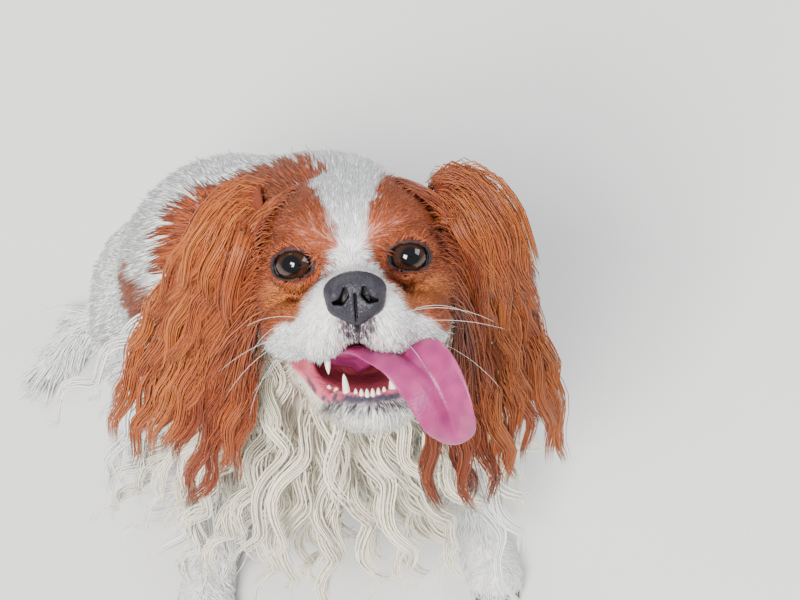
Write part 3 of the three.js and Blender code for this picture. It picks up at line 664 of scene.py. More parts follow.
def piece(name, points, faces, shade, slot=None, tint=None, uv=None, replaced=()):
    """One object of the scene, from points in millimetres."""
    mesh = bpy.data.meshes.new(name)
    faces = np.ascontiguousarray(faces, np.int32)
    mesh.vertices.add(len(points))
    mesh.vertices.foreach_set("co", (points * MM).astype(np.float32).ravel())
    mesh.loops.add(faces.size)
    mesh.loops.foreach_set("vertex_index", faces.ravel())
    mesh.polygons.add(len(faces))
    mesh.polygons.foreach_set("loop_start", np.arange(0, faces.size, 3, dtype=np.int32))
    mesh.polygons.foreach_set("use_smooth", np.ones(len(faces), bool))
    mesh.update(calc_edges=True)
    mesh.materials.append(shade)
    if tint is not None:
        layer = mesh.color_attributes.new("tint", "FLOAT_COLOR", "POINT")
        rgba = np.concatenate([np.clip(tint, 0, 1), np.ones((len(tint), 1))], 1)
        layer.data.foreach_set("color", rgba.astype(np.float32).ravel())
    if uv is not None:
        layer = mesh.uv_layers.new(name="OFBake")
        layer.data.foreach_set("uv", uv[faces.ravel()].astype(np.float32).ravel())
    made = bpy.data.objects.new(name, mesh)
    bpy.context.scene.collection.objects.link(made)
    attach(made, "root")
    if replaced:
        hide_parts(*replaced)


# Strands: each is a closed, three-sided, tapering length of hair.
STRAYS = 0.035
SWIRL = 0.3
HAIR_THICK = 0.17
LINING_THICK = 0.3
WHISKER_THICK = 0.8
TINT_SPREAD = 0.05
# Painted shade among the hair: a strand's tint is darkest at its root and paler towards its tip.
ROOT_SHADE = 0.86
TIP_PALER = 0.2
LOCK_FLOOR = 1.2


def strand_faces(count, rings):
    """The faces of strands that each have a number of three-sided rings and a tip."""
    faces = [(0, 2, 1)]
    for i in range(rings - 1):
        for k in range(3):
            a, b = 3 * i + k, 3 * i + (k + 1) % 3
            faces += [(a, b + 3, b), (a, a + 3, b + 3)]
    last = 3 * (rings - 1)
    faces += [(last + k, last + 3, last + (k + 1) % 3) for k in range(3)]
    first = (3 * rings + 1) * np.arange(count)
    return (np.array(faces)[None] + first[:, None, None]).reshape(-1, 3)


def strands(name, slot, shade, path, rise, width, tint, root_uv, thick=HAIR_THICK):
    """One piece of strands along paths, flat side to the skin, each darker at its root: painted shade."""
    count, rings = path.shape[0], path.shape[1] - 1
    tangent = unit(np.diff(path, axis=1))
    tangent = np.concatenate([tangent[:, :1], unit(tangent[:, 1:] + tangent[:, :-1])], 1)
    up = unit(rise - (rise * tangent).sum(-1, keepdims=True) * tangent)
    across = np.cross(tangent, up)
    t = np.arange(rings) / rings
    half = width[:, None, None] / 2 * ((0.75 + 0.7 * t) * np.sqrt(1 - t))[None, :, None]
    depth = thick * half * 2
    ring = path[:, :-1]
    sides = np.stack([ring + across * half, ring + up * depth, ring - across * half], 2)
    points = np.concatenate([sides.reshape(count, -1, 3), path[:, -1:]], 1)
    along = np.append(np.repeat(t, 3), 1.0)
    paler = ROOT_SHADE + TIP_PALER * along
    tints = tint[:, None] * paler[None, :, None]
    patch = np.stack([np.append(np.tile([-1.0, 0, 1], rings), 0), along * 2 - 1], 1) * PATCH / 2
    uv = root_uv[:, None] + patch[None]
    points, tints, uv = points.reshape(-1, 3), tints.reshape(-1, 3), uv.reshape(-1, 2)
    piece(name, points, strand_faces(count, rings), shade, slot, tints, uv)


def unwrapped(p, a, b):
    """Places on the unwrap of a form: the turn about the axis from a to b, and the way along it."""
    axis = unit(b - a)
    first = unit(np.cross(axis, [0.3, 1, 0.2]))
    second = np.cross(axis, first)
    turn = np.arctan2((p - a) @ second, (p - a) @ first) / (2 * math.pi) + 0.5
    way = (p - a) @ axis
    way = (way - way.min()) / max(np.ptp(way), 1e-6)
    return 0.01 + 0.98 * np.stack([turn, way], 1)


def sampled(points, faces, keep, count):
    """Roots spread over a surface in proportion to its area, where keep says how densely."""
    a, b, c = points[faces[:, 0]], points[faces[:, 1]], points[faces[:, 2]]
    area = norm(np.cross(b - a, c - a))
    chance = area * keep((a + b + c) / 3)
    chosen = draw.choice(len(faces), count, p=chance / chance.sum())
    u, v = draw.random((2, count))
    over = u + v > 1
    u[over], v[over] = 1 - u[over], 1 - v[over]
    a, b, c = a[chosen], b[chosen], c[chosen]
    normal = unit(np.cross(b - a, c - a))
    return a + (b - a) * u[:, None] + (c - a) * v[:, None], normal


def clumped(path, share, per_clump):
    """Strands drawn towards the strand in the middle of their lock, more so at the tips."""
    count = len(path)
    seeds = draw.choice(count, max(count // per_clump, 1), replace=False)
    roots = path[:, 0]
    nearest = np.concatenate([
        ((part[:, None] - roots[seeds][None]) ** 2).sum(-1).argmin(1)
        for part in np.array_split(roots, max(count // 1000, 1))
    ])
    u = np.linspace(0, 1, path.shape[1])[None, :, None]
    middle = path[seeds[nearest]]
    return path + (middle - path) * share * u**1.3


def grown(roots, normal, lie, skin, length, bends, lift=0.3, sag=0.3, wave=0.1, turns=3.0, loose=0.25,
          sunk=1.0, layer=3.0, clump=0.5, per_clump=14, floor=0.8, curl=0.0, strays=STRAYS):
    """The paths of strands that lie along the coat, sag, wave and stay outside the skin."""
    count = len(roots)
    tangent = unit(lie - (lie * normal).sum(1, keepdims=True) * normal)
    side = unit(np.cross(tangent, normal))
    stray = (draw.random(count) < strays)[:, None]
    rise = normal * lift * np.where(stray, 2.2, draw.uniform(0.6, 1.2, (count, 1)))
    swirl = side * (SWIRL * ripple(roots, 58) + 0.5 * SWIRL * ripple(roots + 40, 23))[:, None]
    heading = unit(tangent + rise + swirl + draw.normal(0, loose, (count, 3)) * np.where(stray, 1, 0.5))
    side = unit(np.cross(heading, normal))
    phase = 3.5 * ripple(roots, 55) + draw.normal(0, 0.12, count)
    p = roots.copy()
    path = [roots - normal * sunk]
    step = (length / bends)[:, None]
    level = draw.uniform(0.3, 1, count) * layer
    for i in range(1, bends + 1):
        u = i / bends
        heading = unit(heading - UP * sag / bends)
        angle = phase + turns * u
        swell = 0.6 + 0.8 * u
        sway = (side * (wave * np.cos(angle))[:, None] + normal * (curl * np.sin(angle))[:, None]) * swell
        p = p + (heading + sway) * step
        p = pushed_out(skin, p, level * math.sin(math.pi * (0.15 + 0.75 * u)))
        p[:, 2] = np.maximum(p[:, 2], floor)
        path.append(p)
    path = np.stack(path, 1)
    path[:, 1] = path[:, 0] * 0.35 + path[:, 1] * 0.65
    path = np.where(stray[:, None], path, clumped(path, clump, per_clump))
    path[:, :, 2] = np.maximum(path[:, :, 2], floor)
    return path


def along_path(path, u):
    """Points on each lock's middle line, for shares u of its length: (locks, strands, steps)."""
    x = np.clip(u, 0, 1) * (path.shape[1] - 1)
    i = np.minimum(x.astype(int), path.shape[1] - 2)
    w = (x - i)[..., None]
    which = np.arange(len(path))[:, None, None]
    return path[which, i] * (1 - w) + path[which, i + 1] * w


def locks(middle, up, height, per_lock, bends, radius, flat, gathering):
    """Strands gathered round the middle lines of locks: side by side at the root, together at the tip.

    The height of the middle line above the skin says how far each root goes down to meet it."""
    shape = (len(middle), per_lock, 1)
    tangent = unit(np.gradient(middle, axis=1))
    up = unit(up - (up * tangent).sum(-1, keepdims=True) * tangent)
    across = np.cross(tangent, up)
    turn = draw.uniform(0, 2 * math.pi, shape)
    out = np.sqrt(draw.random(shape)) * radius * np.where(draw.random(shape) < STRAYS, 1.5, 1)
    start, end = draw.uniform(0, 0.24, shape), draw.uniform(0.78, 1, shape)
    u = start + (end - start) * np.linspace(0, 1, bends + 1)
    gather = (1 - gathering * u**1.5)[..., None]
    x = (np.cos(turn) * out)[..., None] * gather
    z = (np.sin(turn) * out + radius)[..., None] * flat * gather
    rise = along_path(up, u)
    path = along_path(middle, u) + along_path(across, u) * x + rise * z
    path[:, :, 0] -= (rise * (along_path(height[..., None], u) + z + 1))[:, :, 0]
    path[..., 2] = np.maximum(path[..., 2], LOCK_FLOOR)
    return path.reshape(-1, bends + 1, 3), rise.reshape(-1, bends + 1, 3)


def spaced(roots, gap):
    """The numbers of roots that lie at least a gap apart."""
    kept = []
    for i, p in enumerate(roots):
        if not kept or ((roots[kept] - p) ** 2).sum(1).min() > gap * gap:
            kept.append(i)
    return kept


def coat(name, slot, roots, normal, path, width, axis, shade=HAIR, tint=None):
    """One piece of the coat, in the markings' colours unless it has a tint of its own."""
    tint = markings(roots) if tint is None else tint
    tint = tint * draw.normal(1, TINT_SPREAD, (len(roots), 1)).clip(0.7, 1.3)
    rise = normal if normal.ndim == 3 else normal[:, None]
    strands(name, slot, shade, path, rise, width, tint, unwrapped(roots, *axis))


def add_camera():
    azimuth, elevation = math.radians(CAMERA_AZIMUTH), math.radians(CAMERA_ELEVATION)
    right = np.array([math.cos(azimuth), math.sin(azimuth), 0])
    level = np.array([-math.sin(azimuth), math.cos(azimuth), 0])
    forward = level * math.cos(elevation) - UP * math.sin(elevation)
    up = np.cross(right, forward)
    offset = (np.array(EYES_PIXEL) - IMAGE_CENTRE) / FOCAL_PIXELS * CAMERA_DISTANCE
    place = HEAD.origin - forward * CAMERA_DISTANCE - right * offset[0] + up * offset[1]
    lens = bpy.data.cameras.new("camera")
    lens.sensor_width = SENSOR_WIDTH
    lens.lens = FOCAL_PIXELS / IMAGE_WIDTH * SENSOR_WIDTH
    lens.clip_start = 0.05
    made = bpy.data.objects.new("camera", lens)
    made.matrix_world = Matrix.Translation(place * MM) @ Matrix(np.stack([right, up, -forward], 1)).to_4x4()
    bpy.context.scene.collection.objects.link(made)
    bpy.context.scene.camera = made


def add_light(name, place, target, energy, size, colour):
    data = bpy.data.lights.new(name, "AREA")
    data.energy = energy
    data.size = size
    data.color = colour
    made = bpy.data.objects.new(name, data)
    made.location = place
    made.rotation_euler = (Vector(target) - Vector(place)).to_track_quat("-Z", "Y").to_euler()
    bpy.context.scene.collection.objects.link(made)


# The floor's half side and the middle of what is lit, in metres.
FLOOR_HALF = 40.0
FLOOR_COLOUR = (0.72, 0.72, 0.7)
LIT_MIDDLE = (0.02, -0.15, 0.25)
SKY_COLOUR = (0.86, 0.9, 0.95, 1)
SKY_STRENGTH = 0.5

# Each light's place, power, size and colour.
LIGHTS = {
    "key": ((-1.4, -1.5, 2.4), 215, 1.1, (1, 0.98, 0.95)),
    "fill": ((1.9, -1.0, 1.6), 38, 1.2, (0.95, 0.97, 1)),
    "back": ((0.3, 1.9, 2.2), 62, 1.8, (1, 1, 1)),
}


def add_floor():
    corners = [(x * FLOOR_HALF, y * FLOOR_HALF, 0) for x, y in ((-1, -1), (1, -1), (1, 1), (-1, 1))]
    mesh = bpy.data.meshes.new("floor")
    mesh.from_pydata(corners, [], [(0, 1, 2, 3)])
    mesh.materials.append(material("floor", 0.9, colour=FLOOR_COLOUR))
    floor = bpy.data.objects.new("floor", mesh)
    bpy.context.scene.collection.objects.link(floor)


def add_studio():
    add_floor()
    for name, (place, energy, size, colour) in LIGHTS.items():
        add_light(name, place, LIT_MIDDLE, energy, size, colour)
    world = bpy.data.worlds.new("world")
    world.use_nodes = True
    background = world.node_tree.nodes["Background"]
    background.inputs["Color"].default_value = SKY_COLOUR
    background.inputs["Strength"].default_value = SKY_STRENGTH
    bpy.context.scene.world = world


FLESH_NODES = ["head", "lower_jaw", "neck", "chest", "torso", "tail"]
FLESH_NODES += [f"{limb_name}_{side}" for side in SIDES for limb_name in
                ("foreleg", "forepaw", "thigh", "hind_leg", "hind_paw")]
BODY_BOX = ((-150, -330, -2), (180, 140, 400))
HEAD_BOX = ((-75, -345, 285), (130, -120, 490))
BODY_CELL = 4.0
HEAD_CELL = 1.6
SEAM_LAP = 3
FLOOR_GAP = 0.6


def body_part(p):
    """The body's skin, to a little past the seam and just clear of the floor."""
    return np.maximum(np.maximum(body_skin(p), past_seam(p) - SEAM_LAP), FLOOR_GAP - p[:, 2])


def head_part(p):
    """The head's skin, to a little past the seam."""
    return np.maximum(face_skin(p), -SEAM_LAP - past_seam(p))


def make_skin():
    body = surface(body_part, *BODY_BOX, BODY_CELL)
    head = surface(head_part, *HEAD_BOX, HEAD_CELL)
    points, faces = joined([body, head])
    piece("skin", points, faces, SKIN, "parti_coat", skin_colour(points), replaced=FLESH_NODES)
    return body, head


# The lie of the coat: over the head it runs from the nose back, then down the neck, body and legs.
def face_lie(p):
    h = HEAD.local(p)
    away = unit(h - [0, -50, -8]) + [0, 0.25, -0.2]
    beside = (ease(12, 34, np.abs(h[:, 0])) * ease(16, 50, h[:, 1]))[:, None]
    outward = np.stack([np.sign(h[:, 0]), np.full(len(p), 0.15), np.full(len(p), -0.55)], 1)
    return (away * (1 - beside) + outward * beside) @ HEAD.axes.T


def body_lie(p):
    spine = unit(PELVIS(0, 20, 90) - CHEST(0, -40, 250))
    back = ease(-20, 20, CHEST.local(p)[:, 1])[:, None]
    low = ease(90, 40, p[:, 2])[:, None]
    flow = back * spine * (1 - low) + [0, 0, -0.75]
    paws = ease(26, 12, p[:, 2])[:, None]
    ahead = np.where(p[:, 1:2] < -120, AHEAD, PELVIS.along(0, -1, 0))
    return unit(flow * (1 - paws) + ahead * paws)


def nape(p):
    """Which points lie on the upper side of the neck and the shoulders."""
    q = p - NECK_SEAM
    q = q - (q @ NECK_LIE)[:, None] * NECK_LIE
    return ease(-4, 14, q @ BEHIND) * ease(190, 230, p[:, 2])


def tail_lie(p):
    runs = np.array([unit(b - a) for a, b in zip(TAIL, TAIL[1:])])
    middles = np.array([(a + b) / 2 for a, b in zip(TAIL, TAIL[1:])])
    nearest = ((p[:, None] - middles[None]) ** 2).sum(-1).argmin(1)
    return runs[nearest] + [0, 0, -0.1]


def is_bare(p):
    """Where no hair grows: about the eyes, in the mouth, on its lips and under the nose pad."""
    bare = (mouth(p) < lip_width(p)) | (nose_bed(p) < 1.0) | (philtrum(p) < 0.2)
    for name, place in EYES.items():
        near = norm(place.local(p)) < EYE_RADIUS + 7
        bare |= near & (eye_opening(name, p) < 1.5)
    return bare


# Parts of the coat. The axes are those of their unwraps.
HEAD_AXIS = (HEAD(0, -60, -20), HEAD(0, 60, -20))
TRUNK_AXIS = (PELVIS(0, 0, 40), CHEST(0, 10, 300))
FORELEG_AXIS = (CHEST(0, -60, 0), CHEST(0, -40, 200))
HIND_LEG_AXIS = (PELVIS(0, -30, 0), PELVIS(0, -20, 160))
TAIL_AXIS = (TAIL[0], TAIL[-1])
FACE_STRANDS = 12500
CROWN_STRANDS = 8600
RIBS_END = 75


def front_share(p):
    """1 on the face and 0 on the crown and the throat."""
    return ease(56, 38, HEAD.local(p)[:, 1])


def face_coat(head):
    """Short, fine hair of the face, longer towards the cheeks."""
    for name, side in SIDES.items():

        def keep(p):
            return front_share(p) * ~is_bare(p) * (HEAD.local(p)[:, 0] * side >= 0)

        roots, normal = sampled(*head, keep, FACE_STRANDS)
        h = HEAD.local(roots)
        fine = ease(0, 62, norm(h - [0, -44, -16]))
        outer = ease(34, 52, np.abs(h[:, 0])) * ease(12, 40, h[:, 1])
        length = (2.4 + 4.6 * fine + 7 * outer) * draw.uniform(0.8, 1.25, len(roots))
        path = grown(roots, normal, face_lie(roots), face_skin, length, 2, lift=0.22, sag=0.05, wave=0.0,
                     loose=0.22, sunk=0.4, layer=1.4, clump=0.2, per_clump=7)
        width = 0.34 + 0.5 * fine + 0.3 * outer
        coat(f"coat_face_{name}", "parti_coat", roots, normal, path, width, HEAD_AXIS)


def crown_coat(head):
    """Longer, flat hair of the crown and the throat."""
    def keep(p):
        return (1 - front_share(p)) * (past_seam(p) > -1) * ~is_bare(p)

    roots, normal = sampled(*head, keep, CROWN_STRANDS)
    length = draw.uniform(11, 20, len(roots))
    path = grown(roots, normal, face_lie(roots) - UP * 0.35, face_skin, length, 2, lift=0.1, sag=0.3,
                 wave=0.08, loose=0.1, layer=2.6, clump=0.35, per_clump=9)
    coat("coat_crown", "parti_coat", roots, normal, path, draw.uniform(0.7, 1.1, len(roots)), HEAD_AXIS)


# What each part of the body is called by its place in the list.
BODY_PARTS = [trunk, forelegs, hind_legs, tail]
TRUNK_PART, FORELEG_PART, HIND_LEG_PART, TAIL_PART = range(len(BODY_PARTS))


def owner(p):
    """The part of the body that each point belongs to."""
    return np.argmin([part(p) for part in BODY_PARTS], 0)


def breast_share(p):
    """1 on the breast and the front of the neck, where the ruff hangs, and 0 behind them."""
    return ease(28, 8, CHEST.local(p)[:, 1]) * (p[:, 2] > 96) * (1 - nape(p))


def above_floor(p):
    return p[:, 2] > 3


def on_trunk(p):
    return (owner(p) == TRUNK_PART) * (1 - breast_share(p))


def on_back(p):
    return on_trunk(p) * (CHEST.local(p)[:, 1] > RIBS_END) * above_floor(p)


def on_shoulders(p):
    return on_trunk(p) * (CHEST.local(p)[:, 1] <= RIBS_END)


def on_breast(p):
    return np.isin(owner(p), (TRUNK_PART, FORELEG_PART)) * breast_share(p)


def on_forelegs(p):
    """Densest on the paws, and thin under the ruff."""
    dense = 1 + 1.6 * (p[:, 2] < 40)
    return (owner(p) == FORELEG_PART) * (1 - breast_share(p) * 0.8) * above_floor(p) * dense


def on_hind_legs(p):
    """Densest on the paws."""
    return (owner(p) == HIND_LEG_PART) * above_floor(p) * (1 + 1.2 * (p[:, 2] < 34))


def on_tail(p):
    return (owner(p) == TAIL_PART) * above_floor(p)


def flat_coat(name, body, keep, count):
    """Dense hair that lies flat over the trunk."""
    roots, normal = sampled(*body, keep, count)
    length = draw.uniform(14, 24, len(roots))
    path = grown(roots, normal, body_lie(roots), body_skin, length, 2, lift=0.07, sag=0.1, wave=0.05,
                 loose=0.1, layer=2.6, clump=0.3, per_clump=8)
    coat(name, "parti_coat", roots, normal, path, draw.uniform(1.2, 2.1, len(roots)), TRUNK_AXIS)


def chest_coat(body):
    """Wavy hair under the ruff, longest low on the breast."""
    roots, normal = sampled(*body, on_breast, 2200)
    low = ease(210, 130, roots[:, 2]) * ease(-0.2, 0.4, normal @ AHEAD)
    length = (32 + 44 * low) * draw.uniform(0.8, 1.25, len(roots))
    lift = (0.2 + 0.3 * low)[:, None]
    path = grown(roots, normal, -UP + normal * 0.1, body_skin, length, 5, lift=lift, sag=0.4, wave=0.35,
                 turns=5, loose=0.2, layer=6, clump=0.7, per_clump=20)
    width = draw.uniform(1.1, 1.8, len(roots))
    coat("coat_chest", "white_coat", roots, normal, path, width, TRUNK_AXIS, SILK)


RUFF_GAP = 13.2
RUFF_WAVE = 41
RUFF_STRANDS = 14
RUFF_BENDS = 16
RUFF_RADIUS = 6.6


def ruff_roots(body):
    """Roots of locks, a gap apart, on the white skin that faces ahead."""
    roots, normal = sampled(*body, on_breast, 3000)
    chosen = np.array(spaced(roots, RUFF_GAP))
    ahead = normal[chosen] @ AHEAD
    chosen = chosen[(ahead > 0.1) & (chestnut_share(roots[chosen]) < 0.5)]
    return roots[chosen], normal[chosen]


def ruff_lines(roots, normal):
    """The locks' curling middle lines: they stand out low down and part at the throat."""
    height = roots[:, 2]
    length = 128 - 44 * ease(230, 320, height) - 40 * ease(175, 120, height)
    length = length * draw.uniform(0.85, 1.15, len(roots))
    ahead = normal @ AHEAD
    lift = 0.3 + 0.5 * ease(260, 200, height) + 0.25 * ease(190, 140, height)
    lift = lift * (0.25 + 0.75 * ease(-0.1, 0.6, ahead))
    beside = np.tanh(CHEST.local(roots)[:, 0] / 40) * ease(190, 260, height)
    lie = unit(-UP + normal * 0.3 + CHEST.along(1, 0, 0) * 0.3 * beside[:, None])
    turns = 2 * math.pi * length / RUFF_WAVE * draw.uniform(0.65, 1.05, len(roots))
    wave = draw.uniform(0.35, 0.8, len(roots))
    return grown(roots, normal, lie, body_skin, length, 40, lift=lift[:, None], sag=0.7, wave=wave,
                 turns=turns, loose=0.36, layer=14, clump=0, curl=0.42, strays=0)


def ruff(body):
    """Long, curling locks from the throat and the chest, in two pieces."""
    roots, normal = ruff_roots(body)
    middle = ruff_lines(roots, normal)
    height = body_skin(middle.reshape(-1, 3)).reshape(middle.shape[:2]).clip(0, 6)
    outward = np.broadcast_to(normal[:, None], middle.shape)
    path, up = locks(middle, outward, height, RUFF_STRANDS, RUFF_BENDS, RUFF_RADIUS, 0.5, 0.6)
    number = np.repeat(np.arange(len(roots)), RUFF_STRANDS)
    tint = markings(roots)[number] * draw.normal(1, 0.05, (len(roots), 1))[number]
    half = len(number) // 2
    for name, part in (("coat_ruff_1", slice(0, half)), ("coat_ruff_2", slice(half, None))):
        line, rise = path[part], up[part, :-1]
        width = draw.uniform(1.1, 1.9, len(line))
        coat(name, "curly_coat", line[:, 0], rise, line, width, TRUNK_AXIS, SILK, tint[part])


def leg_coat(name, slot, body, keep, count, behind, haired, feathered, longer, feather, thicker, layer,
             axis):
    """Short on the paws, longer over the haired heights, and feathered behind over the feathered ones."""
    roots, normal = sampled(*body, keep, count)
    rear = ease(0.1, 0.8, normal @ behind) * ease(*feathered, roots[:, 2])
    high = ease(*haired, roots[:, 2])
    length = (6 + longer * high + feather * rear) * draw.uniform(0.75, 1.2, len(roots))
    path = grown(roots, normal, body_lie(roots), body_skin, length, 3, lift=0.12, sag=0.5, wave=0.12,
                 layer=layer, sunk=0.5, clump=0.35, per_clump=9)
    width = 0.9 + thicker * high * draw.uniform(0.7, 1.3, len(roots))
    coat(name, slot, roots, normal, path, width, axis)


def tail_coat(body):
    """The plume, which lies along the tail."""
    roots, normal = sampled(*body, on_tail, 2100)
    lie = tail_lie(roots) + normal * [1, 1, 0] * 0.2
    length = draw.uniform(22, 40, len(roots))
    path = grown(roots, normal, lie, body_skin, length, 4, lift=0.15, sag=0.4, wave=0.14, layer=3.5,
                 floor=1.0, clump=0.45)
    width = draw.uniform(1.2, 2.0, len(roots))
    coat("coat_tail", "white_coat", roots, normal, path, width, TAIL_AXIS, SILK)


def body_coat(body):
    flat_coat("coat_back", body, on_back, 9500)
    flat_coat("coat_shoulders", body, on_shoulders, 10500)
    chest_coat(body)
    ruff(body)
    leg_coat("coat_forelegs", "white_coat", body, on_forelegs, 4600, BEHIND, haired=(30, 70),
             feathered=(40, 70), longer=10, feather=32, thicker=0.9, layer=2.2, axis=FORELEG_AXIS)
    behind = PELVIS.along(0, 1, 0)
    leg_coat("coat_hind_legs", "parti_coat", body, on_hind_legs, 5000, behind, haired=(24, 60),
             feathered=(16, 40), longer=13, feather=24, thicker=1.3, layer=2.4, axis=HIND_LEG_AXIS)
    tail_coat(body)


# Ears: a smooth line hangs from the skull, and the leather and the hair are placed about it.
# A place on an ear is told by s, the share of the way down, and t, from -1 to 1 across.
# The shade deepens each ear's chestnut, and adds painted shade that makes the dog's left ear darker.
EARS = {
    "left": dict(elbow=(62, 42, 8), rise=24, length=234, out=0.16, ahead=0.43, narrowing=0,
                 lowest_root=0.8, shade=(0.58, 0.48, 0.36)),
    "right": dict(elbow=(-64, 42, 4), rise=22, length=200, out=0.34, ahead=0.32, narrowing=0.12,
                  lowest_root=0.73, shade=(0.82, 0.7, 0.54)),
}
EAR_HALF_WIDTHS = [(16, 0), (21, 0.2), (28, 0.45), (38, 0.7), (44, 0.85), (41, 1)]
EAR_CLEARANCE = 4
OVER_RUFF = 15
EAR_WAVE = 52
EAR_LOCK_RADIUS = 5.8
LEATHER = (0.09, 0.68)
LEATHER_FACES = (3.0, 0.8)


def smooth_line(points, count=300):
    """A smooth line through the points that doesn't loop or overshoot, sampled evenly."""
    pts = [2 * points[0] - points[1], *points, 2 * points[-1] - points[-2]]
    out = []
    for s in np.linspace(0, len(points) - 1, count):
        i = min(int(s), len(points) - 2)
        w = s - i
        p0, p1, p2, p3 = pts[i:i + 4]
        d0, d1, d2 = (max(np.linalg.norm(b - a) ** 0.5, 1e-4) for a, b in ((p0, p1), (p1, p2), (p2, p3)))
        t1 = ((p1 - p0) / d0 - (p2 - p0) / (d0 + d1) + (p2 - p1) / d1) * d1
        t2 = ((p2 - p1) / d1 - (p3 - p1) / (d1 + d2) + (p3 - p2) / d2) * d1
        a, b = 2 * p1 - 2 * p2 + t1 + t2, -3 * p1 + 3 * p2 - 2 * t1 - t2
        out.append(p1 + t1 * w + b * w * w + a * w**3)
    return np.array(out)


class Ear:
    """Places on an ear by s, t and a rise above the leather's inner face."""

    def __init__(self, name, elbow, rise, length, out, ahead, narrowing, lowest_root, shade):
        self.name, self.side = name, SIDES[name]
        self.narrowing, self.lowest_root, self.shade = narrowing, lowest_root, np.array(shade)
        side = self.side
        level = Place((0, 0, 0), HEAD_YAW)
        forward, outward = level.along(0, -1, 0), level.along(side, 0, 0)
        hang = unit(-UP + ahead * forward + out * outward)
        points = [HEAD(38 * side, 42, 26), HEAD(54 * side, 42, rise), HEAD(*elbow)]
        self.line = smooth_line(points + [points[2] + way * hang for way in (50, 110, length)])
        self.tangent = unit(np.gradient(self.line, axis=0))
        wing = 0.88 * outward - 0.47 * forward
        self.wing = unit(wing - (self.tangent @ wing)[:, None] * self.tangent)
        self.out = unit(np.cross(self.wing, self.tangent) * -side)
        halves, at = zip(*EAR_HALF_WIDTHS)
        self.at = np.array(at)
        self.halves = np.array(halves)

    def sample(self, table, s):
        where = np.linspace(0, 1, len(table))
        return np.stack([np.interp(s, where, table[:, k]) for k in range(3)], -1)

    def place(self, s, t, rise):
        out = unit(self.sample(self.out, s))
        half = np.interp(s, self.at, self.halves)
        p = self.sample(self.line, s) + self.sample(self.wing, s) * (t * half)[..., None]
        p = p - out * (0.2 * half * t * t)[..., None]
        clearance = EAR_CLEARANCE + OVER_RUFF * ease(0.35, 0.75, s)
        clearance = np.broadcast_to(clearance, p.shape[:-1]).ravel()
        flat = p.reshape(-1, 3)
        for _ in range(3):
            flat = pushed_out(ear_clear, flat, clearance)
        return flat.reshape(p.shape) + out * rise[..., None], out


def sheet_faces(rows, columns):
    """Two sheets of points, one under the other, closed all round."""
    below = rows * columns
    faces = []
    for i in range(rows - 1):
        for k in range(columns - 1):
            a = i * columns + k
            b, c, d = a + columns, a + columns + 1, a + 1
            faces += [(a, b, c), (a, c, d)]
            faces += [(below + a, below + c, below + b), (below + a, below + d, below + c)]
    rim = list(range(columns - 1))
    rim += [i * columns + columns - 1 for i in range(rows - 1)]
    rim += [(rows - 1) * columns + k for k in range(columns - 1, 0, -1)]
    rim += [i * columns for i in range(rows - 1, 0, -1)]
    for a, b in zip(rim, rim[1:] + rim[:1]):
        faces += [(a, b, below + b), (a, below + b, below + a)]
    return np.array(faces)


def ear_leather(ear):
    """The flap itself: a thin sheet that narrows to a rounded end."""
    rows, columns = 40, 26
    s, t = np.meshgrid(np.linspace(*LEATHER, rows), np.linspace(-1, 1, columns), indexing="ij")
    top, end = LEATHER
    t = t * np.sqrt(1 - 0.75 * ((s - top) / (end - top)) ** 3)
    sheets = [ear.place(s, t, np.full(s.shape, rise))[0] for rise in LEATHER_FACES]
    points = np.concatenate([sheet.reshape(-1, 3) for sheet in sheets])
    faces = sheet_faces(rows, columns)
    if ear.side < 0:
        faces = faces[:, ::-1]
    tint = np.tile(DEEP_CHESTNUT, (len(points), 1))
    name, node = f"ear_leather_{ear.name}", f"ear_{ear.name}"
    piece(name, points, faces, SKIN, "chestnut_coat", tint, replaced=[node])


def ear_tints(ear, over, s0, t0):
    """Painted shade under other hair and beside the face, a painted golden highlight outside and at the
    top.
    """
    grain = np.sin(7 * t0 + 11 * s0) + 0.6 * np.sin(17 * t0 + 3)
    outer = ease(-0.7, 0.3, t0) + 0.5 * ease(0.2, 0, s0)
    golden = np.clip(-0.5 + 0.6 * over + 0.2 * grain + 0.6 * outer + draw.normal(0, 0.14, len(over)), 0, 1)
    bright = np.clip(0.1 + over + 0.25 * grain + 0.5 * outer, 0, 1)
    tint = mixed(mixed(DEEP_CHESTNUT, CHESTNUT, bright), GOLDEN, golden * 0.9)
    return tint * ear.shade * draw.normal(1, 0.07, (len(over), 1)).clip(0.7, 1.3)


def ear_way(s0, t0, longest):
    """Places on the unwrap of an ear: across it and down it."""
    return np.stack([0.5 + 0.47 * t0, 0.02 + 0.96 * s0 / longest], 1)


def ear_lock_roots(ear):
    """Roots in rows and columns over the ear, each moved a little."""
    columns, rows = 9, 10
    middles = [(np.arange(count) + 0.5) / count for count in (rows, columns)]
    s0, t0 = np.meshgrid(*middles, indexing="ij")
    s0 = (s0.ravel() + draw.uniform(-0.06, 0.06, s0.size)).clip(0, 1) * ear.lowest_root
    t0 = (2 * t0.ravel() - 1 + draw.uniform(-0.12, 0.12, t0.size)).clip(-1, 1)
    return s0, t0


